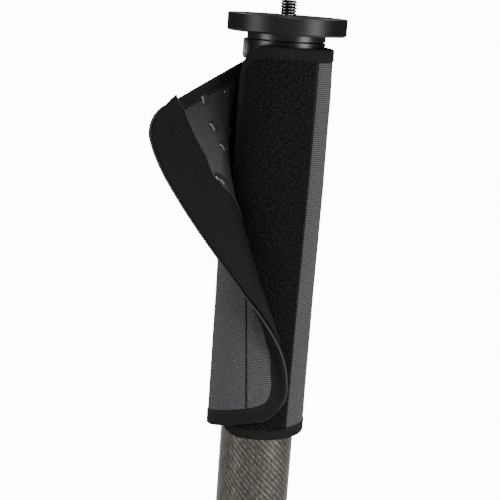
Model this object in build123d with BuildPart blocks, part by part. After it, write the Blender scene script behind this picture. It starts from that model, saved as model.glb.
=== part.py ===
from build123d import *
import math
import os

os.makedirs("parts", exist_ok=True)

# Camera monopod with four twist lock sections, a round head plate and a padded grip wrap.
# Millimetres. The origin is the centre of the plate's seat, +Z points up out of the plate,
# -Y is the side where the wrap closes and -X is the side of the loose flap and the side port.

# Shared clearances
fit_gap = 0.05
running_gap = 0.08
free_gap = 0.3
overrun = 2.0

# Head plate
plate_diameter = 66.0
plate_thickness = 9.8
plate_top_round = 0.7
plate_bottom_bevel = 1.0
hub_diameter = 43.4
hub_height = 3.4
hub_round = 0.2
spigot_diameter = 32.0
spigot_depth = 24.0

# Camera stud, coarse thread above and fine thread below its flange
stud_diameter = 9.525
stud_height = 8.4
stud_pitch = 1.5875
stud_thread_depth = 0.97
stud_crest = 0.2
stud_run_in = 0.5
stud_tip_bevel = 0.9
stud_slot_width = 1.4
stud_slot_depth = 0.85
stud_flange_diameter = 15.8
stud_flange_thickness = 2.45
stud_flange_depth = 4.0
small_stud_diameter = 6.35
small_stud_length = 9.5
retainer_thickness = 4.0
retainer_key_diameter = 1.8

# Set screws through the plate
plate_screw_count = 3
plate_screw_diameter = 4.0
plate_screw_length = 7.0
plate_screw_circle = 52.0
plate_screw_recess = 0.6
screw_socket_diameter = 2.2
screw_socket_depth = 2.4

# Head collar on the top tube
collar_diameter = 43.4
groove_height = 0.5
collar_height = 9.6
collar_bevel = 0.8
collar_shoulder_height = 5.9
collar_rim_bevel = 0.2
tube_joint_length = 22.0
collar_bore_wall = 5.6
collar_screw_angles = (60, -60)
collar_screw_diameter = 4.0
collar_screw_length = 4.5

# Accessory port in the collar's side
port_diameter = 11.2
port_depth_below_seat = 18.95
port_rise = 1.8
port_flange_thickness = 2.7
port_shank_diameter = 7.4
port_bore_diameter = 5.2
port_round = 1.2

# Tubes
tube_diameter = 42.4
tube_wall = 1.4
bushing_wall = 1.15
bushing_height = 26.0
bushing_drop = 2.0
plug_flange = 1.5
plug_length = 5.0
first_tube_end = 425.0
section_step = 34.5
inner_tube_top = 56.0
nest_step = 8.0
section_count = 4

# Twist locks
ferrule_top_reach = 13.0
ferrule_lip = 3.0
ferrule_wall = 1.5
ferrule_ring_height = 2.6
ferrule_ring_wall = 2.6
nut_top_reach = 10.0
nut_bottom_reach = 20.0
nut_wall = 3.0
nut_round = 0.8
collet_gap = 0.2
collet_height = 11.3
collet_top_wall = 0.9
collet_toe_wall = 1.3
collet_grip_gap = 0.04
collet_slot_width = 1.6
collet_slot_count = 6
collet_slot_share = 0.6
seal_height = 2.4
seal_wall = 1.25
seal_lift = 1.5
grip_wall = 1.6
grip_top_margin = 1.5
grip_bottom_margin = 1.5
grip_flute_count = 24
grip_flute_diameter = 2.6
grip_flute_depth = 0.8
grip_round = 0.5

# Foot
foot_gap_below_lock = 1.5
plug_shank_length = 18.5
plug_flange_thickness = 3.0
plug_flange_diameter = 29.2
cup_diameter = 22.0
cup_depth = 8.0
cup_roof = 0.5
sleeve_diameter = 18.0
spike_diameter = 8.8
spike_anchor = 10.5
spike_tip_length = 9.0
spike_tip_diameter = 1.2
spike_rest_depth = 3.0
circlip_drop = 3.5
circlip_height = 1.0
circlip_inner_diameter = 20.8
circlip_outer_diameter = 24.0
ring_diameter = 33.0
ring_height = 14.1
ring_thread_height = 6.0
ring_flute_count = 36
ring_flute_diameter = 1.2
ring_round = 0.5
foot_travel = 7.0
sleeve_top_drop = 9.5
sleeve_seat_length = 6.4
key_diameter = 1.9
key_length = 3.4
key_drop = 12.5
key_slot_reach = 12.0
rubber_diameter = 35.0
rubber_height = 13.0
rubber_top_diameter = 26.0
rubber_bottom_diameter = 26.0
rubber_round = 2.0
rubber_tread_count = 3
rubber_tread_width = 1.2
rubber_tread_depth = 0.8

# Grip wrap, closed part
wrap_top = 16.5
wrap_height = 220.5
wrap_radius = 27.1
wrap_radius_shares = ((0.0, 0.975), (0.12, 0.998), (0.33, 1.0), (0.65, 0.98), (1.0, 0.972))
wrap_end_angle = 208.0
hinge_angle = 135.0
layer_gap = 0.05
lining_thickness = 0.7
shell_thickness = 0.7
panel_thickness = 0.8
panel_edge_angle = -50.0
hem_width = 7.0
hem_proud = 0.3
hem_over_panel = 0.4
wrap_corner_radius = 19.0
wrap_back_corner_radius = 6.0
wrap_skin_clearance = 0.15

# Grip wrap, loose flap: it leaves the hinge, lies on the closed part below and peels away above
flap_length = 81.3
flap_root_radius = 23.4
flap_meet_angle = 214.5
flap_rest_gap = 0.5
flap_root_gap = 0.8
peel_top = 10.0
peel_rate = 0.367
peel_bow = 7.5
peel_height = 220.0
curl_radius = 8.5
curl_end_angle = 189.5
curl_end_twist = 32.8
curl_middle_depth = 140.0
curl_twist_height = 80.0
flap_top_depth = 23.0
flap_top_slope_x = 0.734
flap_top_slope_y = -0.095
flap_bottom_slope_x = 0.243
flap_bottom_slope_y = -0.175
flap_lining_in, flap_lining_out = 1.25, 0.8
flap_padding_in, flap_padding_out = 0.65, 0.6
flap_shell_in, flap_shell_out = 0.65, 1.15
strip_in, strip_out = 1.55, 0.75
strip_start = 53.0
edge_hem_width = 10.0
flap_hem_half = 1.4
flap_top_corner_radius = 20.0
flap_bottom_corner_radius = 19.0
flap_section_count = 14
flap_arc_count = 6
flat_bow = 0.002
dot_diameter = 6.4
dot_height = 1.0
dot_lift = 0.5
dot_places = ((23.0, 45.0), (41.0, 48.0), (38.0, 62.0), (36.0, 72.5), (24.0, 66.0), (24.0, 96.0), (49.5, 89.0))

# Derived sizes
hub_bottom = plate_thickness + hub_height
collar_top = hub_bottom + groove_height
collar_step = collar_top + collar_height
shoulder = collar_step + collar_bevel + collar_shoulder_height
tube_radius = tube_diameter / 2
step_in = tube_wall + running_gap + bushing_wall
radii = [tube_radius - step_in * n for n in range(section_count)]
tube_tops = [shoulder] + [inner_tube_top + nest_step * n for n in range(section_count - 1)]
lock_ends = [first_tube_end + section_step * n for n in range(section_count - 1)]
foot_top = lock_ends[-1] + nut_bottom_reach + foot_gap_below_lock
tube_ends = lock_ends + [foot_top]
wrap_bottom = wrap_top + wrap_height
flap_reach = wrap_bottom + hem_width - peel_top
foot_cup_bottom = foot_top + plug_flange_thickness + cup_depth
sleeve_top = foot_top + plug_flange_thickness + sleeve_top_drop
ring_top = foot_top + plug_flange_thickness + free_gap
ring_bottom = ring_top + ring_height
rubber_top = ring_bottom + foot_travel + 2 * free_gap
foot_bottom = rubber_top + rubber_height
spike_tip = foot_bottom - spike_rest_depth


def polar(radius, angle):
    """Point at a radius and an angle in degrees, in plan."""
    turn = math.radians(angle)
    return radius * math.cos(turn), radius * math.sin(turn)


def radial_plane(angle, depth=0.0):
    """Upright plane through the axis, its x along the given azimuth and its y up."""
    across = polar(1, angle)
    return Plane(origin=(0, 0, -depth), x_dir=(*across, 0), z_dir=(across[1], -across[0], 0))


def facing_plane(radius, angle, depth):
    """Plane that faces outward at a radius, its x level and its y up."""
    across = polar(1, angle)
    return Plane(origin=(*polar(radius, angle), -depth), x_dir=(-across[1], across[0], 0), z_dir=(*across, 0))


def turned(outline, angle=0.0, sweep=360.0):
    """Solid turned about the axis from (radius, depth) points."""
    with BuildPart() as body:
        with BuildSketch(radial_plane(angle)):
            with BuildLine():
                Polyline(*[(radius, -depth) for radius, depth in outline], close=True)
            make_face()
        revolve(axis=Axis.Z, revolution_arc=sweep)
    return body.part


def tube(inner, outer, top, bottom):
    """Plain ring between two depths."""
    with BuildPart() as body:
        with BuildSketch(Plane.XY.offset(-bottom)):
            Circle(outer)
            Circle(inner, mode=Mode.SUBTRACT)
        extrude(amount=bottom - top)
    return body.part


pieces = {}


def keep(name, part):
    """Label a finished piece and list it for export."""
    part.label = name
    pieces[name] = part


# Head plate with its hub and threaded spigot
plate_radius = plate_diameter / 2
hub_radius = hub_diameter / 2
spigot_radius = spigot_diameter / 2
stud_radius = stud_diameter / 2
pocket_radius = stud_flange_diameter / 2 + 4 * fit_gap
screw_radius = plate_screw_diameter / 2
with BuildPart() as top_plate:
    with BuildSketch(Plane.XY.offset(-plate_thickness)):
        Circle(plate_radius)
    extrude(amount=plate_thickness)
    fillet(top_plate.edges().group_by(Axis.Z)[-1], plate_top_round)
    chamfer(top_plate.edges().group_by(Axis.Z)[0], plate_bottom_bevel)
    with BuildSketch(Plane.XY.offset(-hub_bottom)):
        Circle(hub_radius)
    extrude(amount=hub_height)
    fillet(top_plate.edges().group_by(Axis.Z)[0], hub_round)
    with BuildSketch(Plane.XY.offset(-spigot_depth)):
        Circle(spigot_radius)
    extrude(amount=spigot_depth - hub_bottom)
    with BuildSketch(Plane.XY.offset(-spigot_depth)):
        Circle(pocket_radius)
    extrude(amount=spigot_depth - stud_flange_depth, mode=Mode.SUBTRACT)
    with BuildSketch(Plane.XY.offset(-spigot_depth)):
        Circle(stud_radius + running_gap)
    extrude(amount=spigot_depth + overrun, mode=Mode.SUBTRACT)
    with BuildSketch(Plane.XY.offset(-plate_thickness - overrun)):
        with PolarLocations(plate_screw_circle / 2, plate_screw_count, start_angle=90):
            Circle(screw_radius + fit_gap)
    extrude(amount=plate_thickness + 2 * overrun, mode=Mode.SUBTRACT)
keep("top_plate", top_plate.part)

with BuildPart() as plate_set_screws:
    with BuildSketch(Plane.XY.offset(-plate_screw_recess - plate_screw_length)):
        with PolarLocations(plate_screw_circle / 2, plate_screw_count, start_angle=90):
            Circle(screw_radius)
    extrude(amount=plate_screw_length)
    with BuildSketch(Plane.XY.offset(-plate_screw_recess - plate_screw_length)):
        with PolarLocations(plate_screw_circle / 2, plate_screw_count, start_angle=90):
            RegularPolygon(screw_socket_diameter / 2, side_count=6)
    extrude(amount=screw_socket_depth, mode=Mode.SUBTRACT)
keep("plate_set_screws", plate_set_screws.part)


def stud_outline():
    """Half section of the camera stud, its upper thread as parallel grooves."""
    flange_top = stud_flange_depth + fit_gap
    flange_bottom = flange_top + stud_flange_thickness
    root = stud_radius - stud_thread_depth
    shank, shank_end = small_stud_diameter / 2, flange_bottom + small_stud_length
    points = [(0, shank_end), (shank, shank_end), (shank, flange_bottom), (stud_flange_diameter / 2, flange_bottom)]
    flank = (stud_pitch - stud_crest) / 2
    points += [(stud_flange_diameter / 2, flange_top), (root, flange_top)]
    points += [(root, flank - stud_run_in), (stud_radius, -stud_run_in)]
    rise = stud_run_in + stud_crest
    while rise + stud_pitch < stud_height - stud_tip_bevel:
        points += [(stud_radius, -rise), (root, -rise - flank), (stud_radius, -rise - 2 * flank)]
        rise += stud_pitch
    points += [(stud_radius, -stud_height + stud_tip_bevel), (stud_radius - stud_tip_bevel, -stud_height)]
    return points + [(0, -stud_height)]


with BuildPart() as camera_stud:
    add(turned(stud_outline()))
    with BuildSketch(Plane.XY.offset(stud_height - stud_slot_depth)):
        Rectangle(stud_diameter + overrun, stud_slot_width)
    extrude(amount=stud_slot_depth + overrun, mode=Mode.SUBTRACT)
keep("camera_stud", camera_stud.part)

retainer_top = stud_flange_depth + stud_flange_thickness + 2 * fit_gap
with BuildPart() as stud_retainer:
    with BuildSketch(Plane.XY.offset(-retainer_top - retainer_thickness)):
        Circle(pocket_radius - fit_gap)
        Circle(small_stud_diameter / 2 + free_gap, mode=Mode.SUBTRACT)
        with PolarLocations((pocket_radius + small_stud_diameter / 2) / 2, 2):
            Circle(retainer_key_diameter / 2, mode=Mode.SUBTRACT)
    extrude(amount=retainer_thickness)
keep("stud_retainer", stud_retainer.part)

# Collar that joins the plate to the top tube
collar_radius = collar_diameter / 2
tube_inner = tube_radius - tube_wall
collar_bore = spigot_radius + fit_gap
collar_outline = [
    (collar_bore, collar_top),
    (collar_radius, collar_top),
    (collar_radius, collar_step),
    (tube_radius, collar_step + collar_bevel),
    (tube_radius, shoulder),
    (tube_inner - fit_gap, shoulder),
    (tube_inner - fit_gap, shoulder + tube_joint_length),
    (tube_inner - collar_bore_wall, shoulder + tube_joint_length),
    (tube_inner - collar_bore_wall, spigot_depth + overrun),
    (collar_bore, spigot_depth + overrun),
]
port_seat = collar_radius + port_rise - port_flange_thickness
collar_screw_depth = (collar_top + spigot_depth) / 2 + overrun
with BuildPart() as head_collar:
    add(turned(collar_outline))
    rims = head_collar.edges().filter_by(GeomType.CIRCLE)
    chamfer(rims.filter_by(lambda edge: edge.radius == collar_radius), collar_rim_bevel)
    with BuildSketch(facing_plane(0, 180, port_depth_below_seat)):
        Circle(port_shank_diameter / 2 + fit_gap)
    extrude(amount=collar_radius + overrun, mode=Mode.SUBTRACT)
    with BuildSketch(facing_plane(port_seat - fit_gap, 180, port_depth_below_seat)):
        Circle(port_diameter / 2 + fit_gap)
    extrude(amount=port_flange_thickness + overrun, mode=Mode.SUBTRACT)
    for angle in collar_screw_angles:
        with BuildSketch(facing_plane(spigot_radius, angle, collar_screw_depth)):
            Circle(collar_screw_diameter / 2 + fit_gap)
        extrude(amount=collar_radius, mode=Mode.SUBTRACT)
keep("head_collar", head_collar.part)

grub_tip = spigot_radius + 2 * fit_gap
with BuildPart() as collar_grub_screws:
    for angle in collar_screw_angles:
        with BuildSketch(facing_plane(grub_tip, angle, collar_screw_depth)):
            Circle(collar_screw_diameter / 2)
        extrude(amount=collar_screw_length)
        with BuildSketch(facing_plane(grub_tip + collar_screw_length, angle, collar_screw_depth)):
            RegularPolygon(screw_socket_diameter / 2, side_count=6)
        extrude(amount=-screw_socket_depth, mode=Mode.SUBTRACT)
keep("collar_grub_screws", collar_grub_screws.part)

with BuildPart() as accessory_port:
    with BuildSketch(facing_plane(port_seat, 180, port_depth_below_seat)):
        Circle(port_diameter / 2)
    extrude(amount=port_flange_thickness)
    fillet(accessory_port.edges().group_by(Axis.X)[0], port_round)
    with BuildSketch(facing_plane(spigot_radius + 3 * fit_gap, 180, port_depth_below_seat)):
        Circle(port_shank_diameter / 2)
    extrude(amount=port_seat - spigot_radius - 3 * fit_gap)
    with BuildSketch(facing_plane(spigot_radius, 180, port_depth_below_seat)):
        Circle(port_bore_diameter / 2)
    extrude(amount=collar_radius, mode=Mode.SUBTRACT)
keep("accessory_port", accessory_port.part)

# Tubes, with a guide bushing and a plug at the top of each inner one
keep("upper_tube", tube(tube_inner, tube_radius, tube_tops[0], tube_ends[0]))
for n in range(1, section_count):
    outer, inner, top = radii[n], radii[n] - tube_wall, tube_tops[n]
    keep(f"leg_tube_{n + 1}", tube(inner, outer, top, tube_ends[n]))
    guide_top = top + bushing_drop
    guide = radii[n - 1] - tube_wall - running_gap
    keep(f"leg_bushing_{n + 1}", tube(outer + fit_gap / 2, guide, guide_top, guide_top + bushing_height))
    with BuildPart() as leg_plug:
        with BuildSketch(Plane.XY.offset(-top)):
            Circle(outer)
        extrude(amount=plug_flange)
        with BuildSketch(Plane.XY.offset(-top)):
            Circle(inner - fit_gap)
        extrude(amount=-plug_length)
    keep(f"leg_plug_{n + 1}", leg_plug.part)


def lock_ferrule(wide, narrow, end):
    """Threaded ferrule bonded to the end of the wider tube."""
    bond = wide + fit_gap / 2
    return turned(
        [
            (bond, end - ferrule_top_reach),
            (wide + ferrule_ring_wall, end - ferrule_top_reach),
            (wide + ferrule_ring_wall, end - ferrule_top_reach + ferrule_ring_height),
            (wide + ferrule_wall, end - ferrule_top_reach + ferrule_ring_height),
            (wide + ferrule_wall, end + ferrule_lip),
            (narrow + free_gap + fit_gap, end + ferrule_lip),
            (narrow + free_gap + fit_gap, end + fit_gap),
            (bond, end + fit_gap),
        ]
    )


def lock_collet(wide, narrow, end):
    """Tapered clamping collet with one through split and part-way slots."""
    top = end + ferrule_lip + collet_gap
    bore = narrow + collet_grip_gap
    outline = [(bore, top), (wide + collet_top_wall, top)]
    outline += [(narrow + collet_toe_wall, top + collet_height), (bore, top + collet_height)]
    with BuildPart() as collet:
        add(turned(outline))
        with BuildSketch(Plane.XY.offset(-top - collet_height - overrun)):
            with PolarLocations(wide, collet_slot_count):
                Rectangle(wide, collet_slot_width)
        extrude(amount=collet_height * collet_slot_share + overrun, mode=Mode.SUBTRACT)
        with BuildSketch(Plane.XY.offset(-top - collet_height - overrun)):
            with Locations((wide, 0)):
                Rectangle(wide, collet_slot_width)
        extrude(amount=collet_height + 2 * overrun, mode=Mode.SUBTRACT)
    return collet.part


def lock_nut(wide, narrow, end):
    """Clamping nut with a threaded mouth, a taper for the collet and a seal groove."""
    thread_bore = wide + ferrule_wall + fit_gap
    collet_top = end + ferrule_lip + collet_gap
    taper_gap = collet_gap / 2
    bottom = end + nut_bottom_reach
    seal_top = bottom - seal_lift - seal_height
    mouth = narrow + free_gap + fit_gap
    seal_bore = narrow + seal_wall + fit_gap
    outline = [
        (thread_bore, end - nut_top_reach),
        (wide + nut_wall, end - nut_top_reach),
        (wide + nut_wall, bottom),
        (mouth, bottom),
        (mouth, seal_top + seal_height + fit_gap),
        (seal_bore, seal_top + seal_height + fit_gap),
        (seal_bore, seal_top - fit_gap),
        (narrow + collet_toe_wall + taper_gap, collet_top + collet_height + collet_gap),
        (wide + collet_top_wall + taper_gap, collet_top),
        (thread_bore, collet_top),
    ]
    with BuildPart() as nut:
        add(turned(outline))
        rims = nut.edges().filter_by(GeomType.CIRCLE)
        fillet(rims.filter_by(lambda edge: abs(edge.radius - wide - nut_wall) < fit_gap), nut_round)
    return nut.part


def lock_seal(narrow, end):
    """Wiper ring in the nut's lower groove."""
    bottom = end + nut_bottom_reach - seal_lift
    return tube(narrow + fit_gap, narrow + seal_wall, bottom - seal_height, bottom)


def lock_grip(wide, end):
    """Fluted rubber sleeve on the nut."""
    top, bottom = end - nut_top_reach + grip_top_margin, end + nut_bottom_reach - grip_bottom_margin
    outer = wide + nut_wall + grip_wall
    with BuildPart() as grip:
        with BuildSketch(Plane.XY.offset(-bottom)):
            Circle(outer)
        extrude(amount=bottom - top)
        fillet(grip.edges(), grip_round)
        with BuildSketch(Plane.XY.offset(-bottom)):
            Circle(wide + nut_wall + fit_gap)
            with PolarLocations(outer + grip_flute_diameter / 2 - grip_flute_depth, grip_flute_count):
                Circle(grip_flute_diameter / 2)
        extrude(amount=bottom - top, mode=Mode.SUBTRACT)
    return grip.part


for n, end in enumerate(lock_ends):
    wide, narrow = radii[n], radii[n + 1]
    keep(f"lock_ferrule_{n + 1}", lock_ferrule(wide, narrow, end))
    keep(f"lock_collet_{n + 1}", lock_collet(wide, narrow, end))
    keep(f"lock_nut_{n + 1}", lock_nut(wide, narrow, end))
    keep(f"lock_seal_{n + 1}", lock_seal(narrow, end))
    keep(f"lock_grip_{n + 1}", lock_grip(wide, end))

# Foot: a plug in the last tube carries the spike, and a captive ring draws the rubber foot up over it
last_inner = radii[-1] - tube_wall
flange_bottom = foot_top + plug_flange_thickness
cup_inner = sleeve_diameter / 2 + 2 * fit_gap
spike_radius = spike_diameter / 2
cup_ceiling = flange_bottom + cup_roof
circlip_top = flange_bottom + circlip_drop
groove_radius = circlip_inner_diameter / 2 - fit_gap
keep(
    "foot_plug",
    turned(
        [
            (0, foot_top - plug_shank_length),
            (last_inner - fit_gap, foot_top - plug_shank_length),
            (last_inner - fit_gap, foot_top),
            (plug_flange_diameter / 2, foot_top),
            (plug_flange_diameter / 2, flange_bottom),
            (cup_diameter / 2, flange_bottom),
            (cup_diameter / 2, circlip_top - fit_gap),
            (groove_radius, circlip_top - fit_gap),
            (groove_radius, circlip_top + circlip_height + fit_gap),
            (cup_diameter / 2, circlip_top + circlip_height + fit_gap),
            (cup_diameter / 2, foot_cup_bottom),
            (cup_inner, foot_cup_bottom),
            (cup_inner, cup_ceiling),
            (spike_radius + fit_gap, cup_ceiling),
            (spike_radius + fit_gap, foot_top - spike_anchor - fit_gap),
            (0, foot_top - spike_anchor - fit_gap),
        ]
    ),
)

key_depth = flange_bottom + key_drop
with BuildPart() as foot_spike:
    add(
        turned(
            [
                (0, foot_top - spike_anchor),
                (spike_radius, foot_top - spike_anchor),
                (spike_radius, spike_tip - spike_tip_length),
                (spike_tip_diameter / 2, spike_tip),
                (0, spike_tip),
            ]
        )
    )
    with BuildSketch(facing_plane(spike_radius / 2, 0, key_depth)):
        Circle(key_diameter / 2 + fit_gap)
    extrude(amount=spike_radius, mode=Mode.SUBTRACT)
keep("foot_spike", foot_spike.part)

with BuildPart() as foot_key:
    with BuildSketch(facing_plane(spike_radius / 2 + fit_gap, 0, key_depth)):
        Circle(key_diameter / 2)
    extrude(amount=key_length)
keep("foot_key", foot_key.part)

with BuildPart() as foot_circlip:
    circlip_bottom = circlip_top + circlip_height
    add(tube(circlip_inner_diameter / 2, circlip_outer_diameter / 2, circlip_top, circlip_bottom))
    with BuildSketch(Plane.XY.offset(-circlip_bottom)):
        with Locations((0, circlip_outer_diameter / 2)):
            Rectangle(key_diameter * 2, circlip_outer_diameter / 2)
    extrude(amount=circlip_height, mode=Mode.SUBTRACT)
keep("foot_circlip", foot_circlip.part)

sleeve_radius = sleeve_diameter / 2
thread_top = ring_bottom - ring_thread_height
ring_bore = cup_diameter / 2 + running_gap
clip_bore = circlip_outer_diameter / 2 + free_gap
ring_outline = [
    (ring_bore, ring_top),
    (ring_diameter / 2, ring_top),
    (ring_diameter / 2, ring_bottom),
    (sleeve_radius + running_gap, ring_bottom),
    (sleeve_radius + running_gap, thread_top),
    (ring_bore, thread_top),
    (ring_bore, circlip_top + circlip_height + free_gap),
    (clip_bore, circlip_top + circlip_height + free_gap),
    (clip_bore, circlip_top - free_gap),
    (ring_bore, circlip_top - free_gap),
]
with BuildPart() as foot_ring:
    add(turned(ring_outline))
    rims = foot_ring.edges().filter_by(GeomType.CIRCLE)
    fillet(rims.filter_by(lambda edge: edge.radius == ring_diameter / 2), ring_round)
    with BuildSketch(Plane.XY.offset(-ring_bottom)):
        with PolarLocations(ring_diameter / 2 + ring_flute_diameter / 4, ring_flute_count):
            Circle(ring_flute_diameter / 2)
    extrude(amount=ring_height, mode=Mode.SUBTRACT)
keep("foot_ring", foot_ring.part)

sleeve_bottom = rubber_top + sleeve_seat_length
with BuildPart() as foot_sleeve:
    add(tube(spike_radius + running_gap, sleeve_radius, sleeve_top, sleeve_bottom))
    with BuildSketch(Plane.XY.offset(-sleeve_top - key_slot_reach)):
        with Locations((sleeve_radius / 2, 0)):
            Rectangle(sleeve_radius, key_diameter + 4 * fit_gap)
    extrude(amount=key_slot_reach, mode=Mode.SUBTRACT)
keep("foot_sleeve", foot_sleeve.part)

rubber_radius = rubber_diameter / 2
rubber_outline = [
    (spike_radius + 2 * free_gap, sleeve_bottom + fit_gap),
    (sleeve_radius + fit_gap, sleeve_bottom + fit_gap),
    (sleeve_radius + fit_gap, rubber_top),
    (rubber_top_diameter / 2, rubber_top),
    (rubber_radius, rubber_top + rubber_height / 3),
    (rubber_radius, rubber_top + rubber_height * 2 / 3),
    (rubber_bottom_diameter / 2, foot_bottom),
    (spike_radius + 2 * free_gap, foot_bottom),
]
with BuildPart() as rubber_foot:
    add(turned(rubber_outline))
    rims = rubber_foot.edges().filter_by(GeomType.CIRCLE).filter_by(lambda edge: edge.radius == rubber_radius)
    fillet(rims, rubber_round)
    for n in range(rubber_tread_count):
        tread = sleeve_radius / 2 + rubber_tread_width * (1 + 2 * n)
        with BuildSketch(Plane.XY.offset(-foot_bottom)):
            Circle(tread + rubber_tread_width / 2)
            Circle(tread - rubber_tread_width / 2, mode=Mode.SUBTRACT)
        extrude(amount=rubber_tread_depth, mode=Mode.SUBTRACT)
keep("rubber_foot", rubber_foot.part)

# Grip wrap, closed part: layers turned about the tube inside a bound edge
wrap_sweep = 360 + hinge_angle - wrap_end_angle
tube_skin = tube_radius + wrap_skin_clearance
collar_skin = collar_radius + wrap_skin_clearance


def wrap_radius_at(depth):
    """Outside radius of the shell at a depth below the seat."""
    share = min(max((depth - wrap_top) / wrap_height, 0), 1)
    for (above, wide), (below, narrow) in zip(wrap_radius_shares, wrap_radius_shares[1:]):
        if share <= below:
            return wrap_radius * (wide + (narrow - wide) * (share - above) / (below - above))
    return wrap_radius * wrap_radius_shares[-1][1]


def wrap_outline(inset, rise):
    """Outer skin of a wrap layer, as (radius, depth) points from the top down."""
    top, bottom = wrap_top + inset, wrap_bottom - inset
    depths = [top] + [wrap_top + wrap_height * share for share, _ in wrap_radius_shares[1:-1]] + [bottom]
    return [(wrap_radius_at(depth) + rise, depth) for depth in depths]


def corner_tool(plane, radius, lean=90.0):
    """Prism that rounds a sheet's corner: x runs along one edge and the other edge leans from it."""
    reach = radius / math.tan(math.radians(lean) / 2)
    outside, along = polar(-overrun, lean / 2), polar(reach, lean)
    with BuildPart() as tool:
        with BuildSketch(plane):
            with BuildLine():
                Polyline(outside, (reach, 0), (reach, radius), along, close=True)
            make_face()
            with Locations((reach, radius)):
                Circle(radius, mode=Mode.SUBTRACT)
        extrude(amount=wrap_radius / 2, both=True)
    return tool.part


def wrap_corners(inset, corner, back_corner):
    """Rounding tools for the wrap's free end and for its back end at the hinge."""
    arc = math.degrees(inset / wrap_radius)
    ends = ((wrap_end_angle + arc, 1, corner), (wrap_end_angle + wrap_sweep, -1, back_corner))
    tools = []
    for depth, up in ((wrap_top + inset, -1), (wrap_bottom - inset, 1)):
        for angle, along, radius in ends:
            across = polar(1, angle)
            level = (-across[1] * along, across[0] * along, 0)
            normal = (across[0] * along * up, across[1] * along * up, 0)
            plane = Plane(origin=(*polar(wrap_radius * 7 / 8, angle), -depth), x_dir=level, z_dir=normal)
            tools.append(corner_tool(plane, radius))
    return tools


hem_arc = math.degrees(hem_width / wrap_radius)
gap_arc = math.degrees(2 * layer_gap / wrap_radius)
inner_start = wrap_end_angle + hem_arc + gap_arc
wrap_stop = wrap_end_angle + wrap_sweep
panel_stop = panel_edge_angle + 360
inner_corners = wrap_corners(hem_width + 2 * layer_gap, wrap_corner_radius - hem_width, overrun / 2)
layer_inset = hem_width + 2 * layer_gap
lining_radius = tube_skin + lining_thickness


def cut_corners(part, tools):
    """Wrap layer with its corners rounded."""
    with BuildPart() as body:
        add(part)
        for tool in tools:
            add(tool, mode=Mode.SUBTRACT)
    return body.part


layers = {
    "wrap_lining": (tube_skin, lambda depth: lining_radius, inner_start, wrap_stop),
    "wrap_padding": (
        lining_radius + layer_gap,
        lambda depth: wrap_radius_at(depth) - shell_thickness - layer_gap,
        inner_start,
        wrap_stop,
    ),
    "wrap_shell": (
        lambda depth: wrap_radius_at(depth) - shell_thickness,
        wrap_radius_at,
        inner_start,
        wrap_stop,
    ),
    "loop_panel": (
        lambda depth: wrap_radius_at(depth) + layer_gap,
        lambda depth: wrap_radius_at(depth) + layer_gap + panel_thickness,
        inner_start,
        panel_stop,
    ),
}
for name, (inner, outer, start, stop) in layers.items():
    depths = [depth for _, depth in wrap_outline(layer_inset, 0)]
    depths[0] += collar_bevel if name == "wrap_lining" else 0
    skin = [(outer(depth), depth) for depth in depths]
    core = [(inner(depth) if callable(inner) else inner, depth) for depth in reversed(depths)]
    keep(name, cut_corners(turned(skin + core, start, stop - start), inner_corners[:4]))

hem_top = wrap_top + hem_width
hem_low = wrap_bottom - hem_width
hem_skin = wrap_outline(0, hem_proud)
hem_core = [
    (tube_skin, wrap_bottom),
    (tube_skin, hem_top + collar_bevel + layer_gap),
    (collar_skin, hem_top + layer_gap),
    (collar_skin, wrap_top),
]
end_band = wrap_outline(0, hem_proud + hem_over_panel) + [(lining_radius, wrap_bottom), (lining_radius, wrap_top)]
near, far = wrap_radius / 2, wrap_radius * 2
window = [(near, hem_top), (far, hem_top), (far, hem_low), (near, hem_low)]
window_start = wrap_end_angle + hem_arc
window_corners = wrap_corners(hem_width, wrap_corner_radius - hem_width, overrun / 2)[::2]
with BuildPart() as wrap_binding:
    add(turned(hem_skin + hem_core, wrap_end_angle, wrap_sweep))
    add(turned(end_band, wrap_end_angle, hem_arc))
    for tool in wrap_corners(0, wrap_corner_radius, wrap_back_corner_radius):
        add(tool, mode=Mode.SUBTRACT)
    add(cut_corners(turned(window, window_start, wrap_sweep), window_corners), mode=Mode.SUBTRACT)
keep("wrap_binding", wrap_binding.part)


def flap_chain(depth):
    """Start of the flap's level section at a depth, and its arcs as (length, curvature)."""
    wall = wrap_radius_at(depth) + layer_gap + panel_thickness + flap_rest_gap + strip_in
    meet, start = math.radians(flap_meet_angle), math.radians(hinge_angle)
    shift = (wall**2 - flap_root_radius**2) / (2 * (wall - flap_root_radius * math.cos(meet - start)))
    bend = wall - shift
    root = polar(flap_root_radius, hinge_angle)
    centre = polar(shift, flap_meet_angle)
    turn = math.atan2(root[1] - centre[1], root[0] - centre[0]) % (2 * math.pi)
    heading = turn + math.pi / 2
    drop = min(max(depth - peel_top, 0), peel_height)
    bow = peel_bow * math.sin(math.pi * drop / peel_height)
    held = min(max((depth - peel_top) * peel_rate + bow, 0), flap_length)
    first = min(held, bend * (meet - turn))
    second = held - first
    last = math.radians(curl_end_angle - curl_end_twist * (depth - curl_middle_depth) / curl_twist_height)
    over = max(heading + first / bend + second / wall - last, 0)
    curl = min(curl_radius * over, flap_length - held)
    return root, heading, ((first, 1 / bend), (second, 1 / wall), (curl, -1 / curl_radius), (flap_length, 0))


def flap_place(depth, run, side=0.0):
    """Point on the flap at a depth, a run from the hinge and a distance out of its middle, and its heading."""
    (x, y), heading, arcs = flap_chain(depth)
    left = run
    for length, curve in arcs:
        part = min(left, length)
        if curve:
            x += (math.sin(heading + curve * part) - math.sin(heading)) / curve
            y += (math.cos(heading) - math.cos(heading + curve * part)) / curve
            heading += curve * part
        else:
            x += part * math.cos(heading)
            y += part * math.sin(heading)
        left -= part
    return x + side * math.sin(heading), y - side * math.cos(heading), heading


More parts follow.
